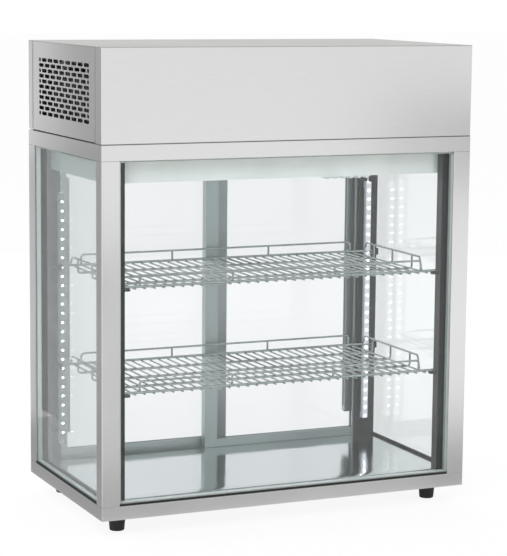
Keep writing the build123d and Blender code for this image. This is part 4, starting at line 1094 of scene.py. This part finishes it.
@dataclass
class RearControls:
    """The controller, the two rocker switches, the cable gland and the screws."""

    gloss: Colour = shade("151517")
    matte: Colour = shade("3B3B3D")
    black: Colour = shade("202021")
    steel: Colour = shade("C9C9C7")
    slot_length: float = 3.6 * MM
    slot_width: float = 0.8 * MM
    slot_depth: float = 0.2 * MM
    slot_rounding: float = 0.4
    proud: float = 0.03 * MM
    recess_proud: float = 0.005 * MM
    digit_bars: tuple[str, ...] = ("bcfg", "abcdef")
    digit_glow: Colour = shade("FF4A30")
    digit_lens: Colour = shade("FF5A3C")
    button_sign: Colour = shade("D8D8D6")
    rocker_sign: Colour = shade("E6E6E4")
    display_from_end: float = 53.0 * MM
    display_depth: float = 0.45 * MM
    digit_pitch: float = 9.0 * MM
    digit_width: float = 5.0 * MM
    digit_height: float = 9.0 * MM
    bar_width: float = 1.0 * MM
    bar_rounding: float = 0.5
    sign_radius: float = 1.3 * MM
    sign_taper: float = 0.92
    bar_share: tuple[float, float] = (0.5, 2.4)
    ring_share: float = 1.2
    ring_hole: float = 0.72
    ring_corners: int = 24
    sign_corners: tuple[int, ...] = (3, 3, 20, 4)
    sign_turns: tuple[float, ...] = (90.0, -90.0, 0.0, 45.0)
    rocker_tilt: float = 8.0
    rocker_rise: float = 6.5 * MM
    rocker_dip: float = 4.5 * MM
    rocker_reach: float = 12.4 * MM

    def dress(self) -> None:
        """Give the controls their finishes."""
        gloss = Skin("controller_gloss", self.gloss, roughness=0.12, coat=0.6, relief=0.02).build()
        matte = Skin("button_matte", self.matte, roughness=0.6).build()
        dress(gloss, ["controller_body"])
        rocker = Skin("rocker_gloss", self.gloss, roughness=0.18, coat=0.5, relief=0.02)
        dress(rocker.build(), ["light_switch_rocker", "power_switch_rocker"])
        dress(matte, [f"controller_button_{number}" for number in range(1, len(self.sign_corners) + 1)])
        dress(Skin("switch_black", self.black, roughness=0.5).build(), ["switch_housings", "cable_gland"])
        dress(DrawnMetal("screw_steel", self.steel, roughness=0.2).build(), ["fasteners"])
        # Painted shade: dark blocks in the driver slots stand in for the shade inside them.
        self.add_recesses(Skin("screw_recess", self.black, roughness=0.5, metallic=0.7).build())
        self.add_display()
        self.add_button_marks()
        self.add_rocker_marks()

    def add_recesses(self, material: Material) -> None:
        """Add the crossed driver slots on the screw heads that face the rear, as dark blocks that paint the
        shade in them.

        Args:
            material: the dark finish that paints the shade inside a slot.
        """
        mesh = bmesh.new()
        half, narrow, sunk = self.slot_length / 2, self.slot_width / 2, self.slot_depth
        for low, high in solid_boxes("fasteners"):
            if not turned(low, high):
                continue
            middle = (low + high) / 2
            for across, up in ((half, narrow), (narrow, half)):
                corner = Vector((middle.x - across, high.y - sunk, middle.z - up))
                far = Vector((middle.x + across, high.y + self.recess_proud, middle.z + up))
                add_block(mesh, corner, far, narrow * self.slot_rounding)
        piece("screw_recesses", mesh, material, "case")

    def add_display(self) -> None:
        """Add the two lit digits of the controller's display, read from behind."""
        low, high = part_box("controller_body")
        middle = Vector((low.x + self.display_from_end, high.y - self.display_depth, (low.z + high.z) / 2))
        mesh = bmesh.new()
        for index, lit in enumerate(self.digit_bars):
            shift = (index - (len(self.digit_bars) - 1) / 2) * self.digit_pitch
            self.add_digit(mesh, middle - Vector((shift, 0, 0)), lit)
        glow = Lit("display_glow", self.digit_lens, self.digit_glow, strength=2.2).build()
        piece("display_digits", mesh, glow, "case")

    def add_digit(self, mesh: Mesh, middle: Vector, lit: str) -> None:
        """Add one digit made of bars.

        Args:
            mesh: the bmesh that it goes into.
            middle: the digit's centre.
            lit: the letters of the bars that are lit, from a at the top to g in the middle.
        """
        half_width, half_height, thick = self.digit_width / 2, self.digit_height / 2, self.bar_width / 2
        flat = Vector((half_width - thick, self.proud, thick))
        tall = Vector((thick, self.proud, half_height / 2 - thick))
        spots = {
            "a": (0, half_height, flat), "b": (-half_width, half_height / 2, tall),
            "c": (-half_width, -half_height / 2, tall), "d": (0, -half_height, flat),
            "e": (half_width, -half_height / 2, tall), "f": (half_width, half_height / 2, tall),
            "g": (0, 0, flat),
        }
        for across, up, size in (spots[letter] for letter in lit):
            spot = middle + Vector((across, 0, up))
            add_block(mesh, spot - size, spot + size, thick * self.bar_rounding)

    def add_button_marks(self) -> None:
        """Add one plain sign on each button: two arrows, a disc and a square."""
        material = Skin("button_sign", self.button_sign, roughness=0.5).build()
        signs = zip(self.sign_corners, self.sign_turns)
        for number, (corners, angle) in enumerate(signs, start=1):
            low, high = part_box(f"controller_button_{number}")
            middle = (low + high) / 2
            place = Matrix.Translation((middle.x, high.y, middle.z)) @ FACING_REAR
            spin = Matrix.Rotation(math.radians(angle), 4, "Z")
            mesh = bmesh.new()
            bmesh.ops.create_cone(
                mesh,
                cap_ends=True,
                segments=corners,
                radius1=self.sign_radius,
                radius2=self.sign_radius * self.sign_taper,
                depth=2 * self.proud,
                matrix=place @ spin,
            )
            piece(f"button_sign_{number}", mesh, material, f"button_{number}")

    def add_rocker_marks(self) -> None:
        """Add a bar on the upper and a ring on the lower half of each rocker, flat on its faces."""
        material = Skin("rocker_sign", self.rocker_sign, roughness=0.5).build()
        joints = {joint["child"]: joint for joint in frame["joints"]}
        for name in ("light_switch", "power_switch"):
            pivot = Vector(joints[name]["pos_m"])
            base = Matrix.Translation(pivot) @ Matrix.Rotation(math.radians(self.rocker_tilt), 4, "X")
            slope = math.atan2(self.rocker_rise - self.rocker_dip, self.rocker_reach)
            height = (self.rocker_rise + self.rocker_dip) / 2
            mesh = bmesh.new()
            for way in (1, -1):
                face = Matrix.Translation((0, height, way * self.rocker_reach / 2))
                face = base @ face @ Matrix.Rotation(-way * slope, 4, "X") @ FACING_REAR
                if way > 0:
                    sizes = (*(self.sign_radius * share for share in self.bar_share), 2 * self.proud, 1.0)
                    bmesh.ops.create_cube(mesh, size=1.0, matrix=face @ Matrix.Diagonal(sizes))
                else:
                    self.add_ring(mesh, face)
            piece(f"{name}_signs", mesh, material, name)

    def add_ring(self, mesh: Mesh, face: Matrix) -> None:
        """Add a flat ring on a face.

        Args:
            mesh: the bmesh that it goes into.
            face: the place and turn of the face, with its normal along Z.
        """
        lifted = face @ Matrix.Translation((0, 0, self.proud))
        radius = self.sign_radius * self.ring_share
        made = bmesh.ops.create_circle(mesh, segments=self.ring_corners, radius=radius, matrix=lifted)
        edges = list({edge for vertex in made["verts"] for edge in vertex.link_edges})
        grown = bmesh.ops.extrude_edge_only(mesh, edges=edges)["geom"]
        inner = [item for item in grown if isinstance(item, bmesh.types.BMVert)]
        hole = (self.ring_hole, self.ring_hole, 1.0)
        bmesh.ops.scale(mesh, vec=hole, space=face.inverted(), verts=inner)
        faces = list({item for vertex in inner for item in vertex.link_faces})
        bmesh.ops.solidify(mesh, geom=faces, thickness=2 * self.proud)


@dataclass(frozen=True)
class Card:
    """A studio card that only shows in reflections, as a flag or reflector beside the case."""

    name: str
    place: Place
    size: tuple[float, float]
    facing: Place
    level: float

    def build(self) -> None:
        """Make the card."""
        mesh = bmesh.new()
        turn = Vector(self.facing).to_track_quat("Z", "Y").to_matrix().to_4x4()
        size = Matrix.Diagonal((*self.size, 1.0, 1.0))
        place = Matrix.Translation(self.place)
        bmesh.ops.create_grid(mesh, x_segments=1, y_segments=1, size=0.5, matrix=place @ turn @ size)
        material, graph, _, leave = new_material(self.name)
        tone = graph.add("Emission", Color=WHITE, Strength=self.level)
        graph.fill(leave, "Surface", tone.outputs[0])
        card = add_object(self.name, mesh, material)
        card.visible_camera = False
        card.visible_diffuse = False
        card.visible_transmission = False
        card.visible_shadow = False


CARDS = (
    Card("left_flag", (-0.56, 0.33, 0.45), (0.68, 0.95), (1.0, 0.0, 0.0), 0.31),
    Card("left_rear_flag", (-0.56, 0.735, 0.29), (0.13, 0.56), (1.0, 0.0, 0.0), 0.12),
    Card("left_floor_flag", (-0.47, 0.30, 0.004), (0.22, 0.90), (0.0, 0.0, 1.0), 0.36),
    Card("front_flag", (0.64, -0.72, 0.59), (0.36, 0.14), (0.0, 1.0, 0.0), 0.42),
    Card("post_flag", (-0.134, -0.72, 0.21), (0.12, 0.42), (0.0, 1.0, 0.0), 0.46),
    Card("rear_flag", (0.05, 0.90, 0.20), (0.70, 0.50), (0.0, -1.0, 0.0), 0.50),
    Card("floor_flag", (0.20, -0.46, 0.003), (1.3, 0.40), (0.0, 0.0, 1.0), 0.46),
    Card("corner_flag", (0.50, -0.45, 0.006), (0.34, 0.40), (0.0, 0.0, 1.0), 0.33),
)


@dataclass(frozen=True)
class Lamp:
    """A soft square lamp that lights the case and isn't seen in it."""

    name: str
    place: Place
    target: Place
    size: float
    power: float

    def build(self) -> None:
        """Hang the lamp and turn it to its target."""
        data = bpy.data.lights.new(self.name, "AREA")
        data.size = self.size
        data.energy = self.power
        lamp = bpy.data.objects.new(self.name, data)
        lamp.location = self.place
        lamp.rotation_euler = (Vector(self.target) - Vector(self.place)).to_track_quat("-Z", "Y").to_euler()
        lamp.visible_glossy = False
        lamp.visible_transmission = False
        bpy.context.scene.collection.objects.link(lamp)


LAMPS = (
    Lamp("key_light", (-1.9, -2.4, 2.6), (0.0, 0.0, 0.45), 1.8, 46.0),
    Lamp("side_light", (-2.6, 0.9, 1.3), (0.0, 0.0, 0.45), 1.4, 16.0),
    Lamp("back_light", (0.8, 2.6, 1.6), (0.0, 0.0, 0.4), 2.0, 34.0),
)


@dataclass
class Studio:
    """The plain pale floor, the soft light and the camera."""

    camera_place: Place = (-1.4718, -3.3266, 0.9240)
    yaw: float = 24.07
    pitch: float = 8.25
    roll: float = 0.53
    lens: float = 133.1
    sensor: float = 36.0
    farthest: float = 100.0
    floor_half: float = 30.0
    floor_tone: Colour = (0.86, 0.86, 0.86)
    floor_roughness: float = 0.9
    backdrop: float = 1.0
    floor_seen: float = 0.88
    floor_glow: float = 0.6
    left_light: float = 0.10
    side_reach: float = 0.9
    sky_light: tuple[float, float] = (0.62, 0.98)
    sky_reach: tuple[float, float] = (-0.5, 0.6)

    def build(self) -> None:
        """Make the floor, the world, the reflector cards, the lamps and the camera."""
        self.add_floor()
        self.add_world()
        for item in (*CARDS, *LAMPS):
            item.build()
        self.add_camera()
        bpy.context.scene.view_settings.view_transform = "Standard"

    def add_floor(self) -> None:
        """Make the pale floor, which the camera sees nearly white."""
        mesh = bmesh.new()
        bmesh.ops.create_grid(mesh, x_segments=1, y_segments=1, size=self.floor_half)
        material, graph, surface, leave = new_material("studio_floor")
        graph.fill_all(surface, Base_Color=self.floor_tone, Roughness=self.floor_roughness)
        glow = graph.add("Emission", Color=WHITE, Strength=self.backdrop)
        rays = graph.add("LightPath")
        seen = graph.math("MAXIMUM", rays.outputs["Is Camera Ray"], rays.outputs["Is Transmission Ray"])
        seen = graph.math("MULTIPLY", seen, self.floor_seen)
        mirrored = graph.math("MULTIPLY", rays.outputs["Is Glossy Ray"], self.floor_glow)
        share = graph.math("MAXIMUM", seen, mirrored)
        graph.fill(leave, "Surface", graph.blended(share, surface.outputs[0], glow.outputs[0]))
        floor = add_object("studio_floor", mesh, material)

    def add_world(self) -> None:
        """Make a white surround for seen rays and a softer one for the light it casts."""
        world = bpy.data.worlds.new("studio")
        world.use_nodes = True
        world.node_tree.nodes.clear()
        graph = Graph(world.node_tree)
        rays = graph.add("LightPath")
        seen = graph.math("MAXIMUM", rays.outputs["Is Camera Ray"], rays.outputs["Is Transmission Ray"])
        axes = graph.axes("Generated")
        side = graph.span(axes["X"], -self.side_reach, self.side_reach, self.left_light, 0.0)
        height = graph.span(axes["Z"], *self.sky_reach, *self.sky_light)
        level = graph.add("Mix", {"data_type": "FLOAT"})
        for index, value in ((0, seen), (2, graph.math("ADD", side, height)), (3, self.backdrop)):
            graph.fill(level, index, value)
        plain = graph.add("Background", Color=WHITE)
        graph.fill(plain, "Strength", level.outputs[0])
        graph.add("OutputWorld", Surface=plain.outputs[0])
        bpy.context.scene.world = world

    def add_camera(self) -> None:
        """Add the camera at the photograph's angle."""
        data = bpy.data.cameras.new("camera")
        data.lens = self.lens
        data.sensor_width = self.sensor
        data.clip_end = self.farthest
        camera = bpy.data.objects.new("camera", data)
        turn = Matrix.Rotation(math.radians(-self.yaw), 4, "Z")
        tilt = Matrix.Rotation(math.radians(90.0 - self.pitch), 4, "X")
        lean = Matrix.Rotation(math.radians(self.roll), 4, "Z")
        camera.matrix_world = Matrix.Translation(self.camera_place) @ turn @ tilt @ lean
        bpy.context.scene.collection.objects.link(camera)
        bpy.context.scene.camera = camera


def main() -> None:
    """Dress the case, sub-assembly by sub-assembly, and set up the studio."""
    logging.basicConfig(level=logging.INFO, format="%(name)s: %(message)s")
    parts = (Carcass, Glazing, Doors, LightStrips, Shelves, ColdSystem, MachineHeader, RearControls)
    for part in parts:
        part().dress()
    Studio().build()


if __name__ == "__main__":
    main()
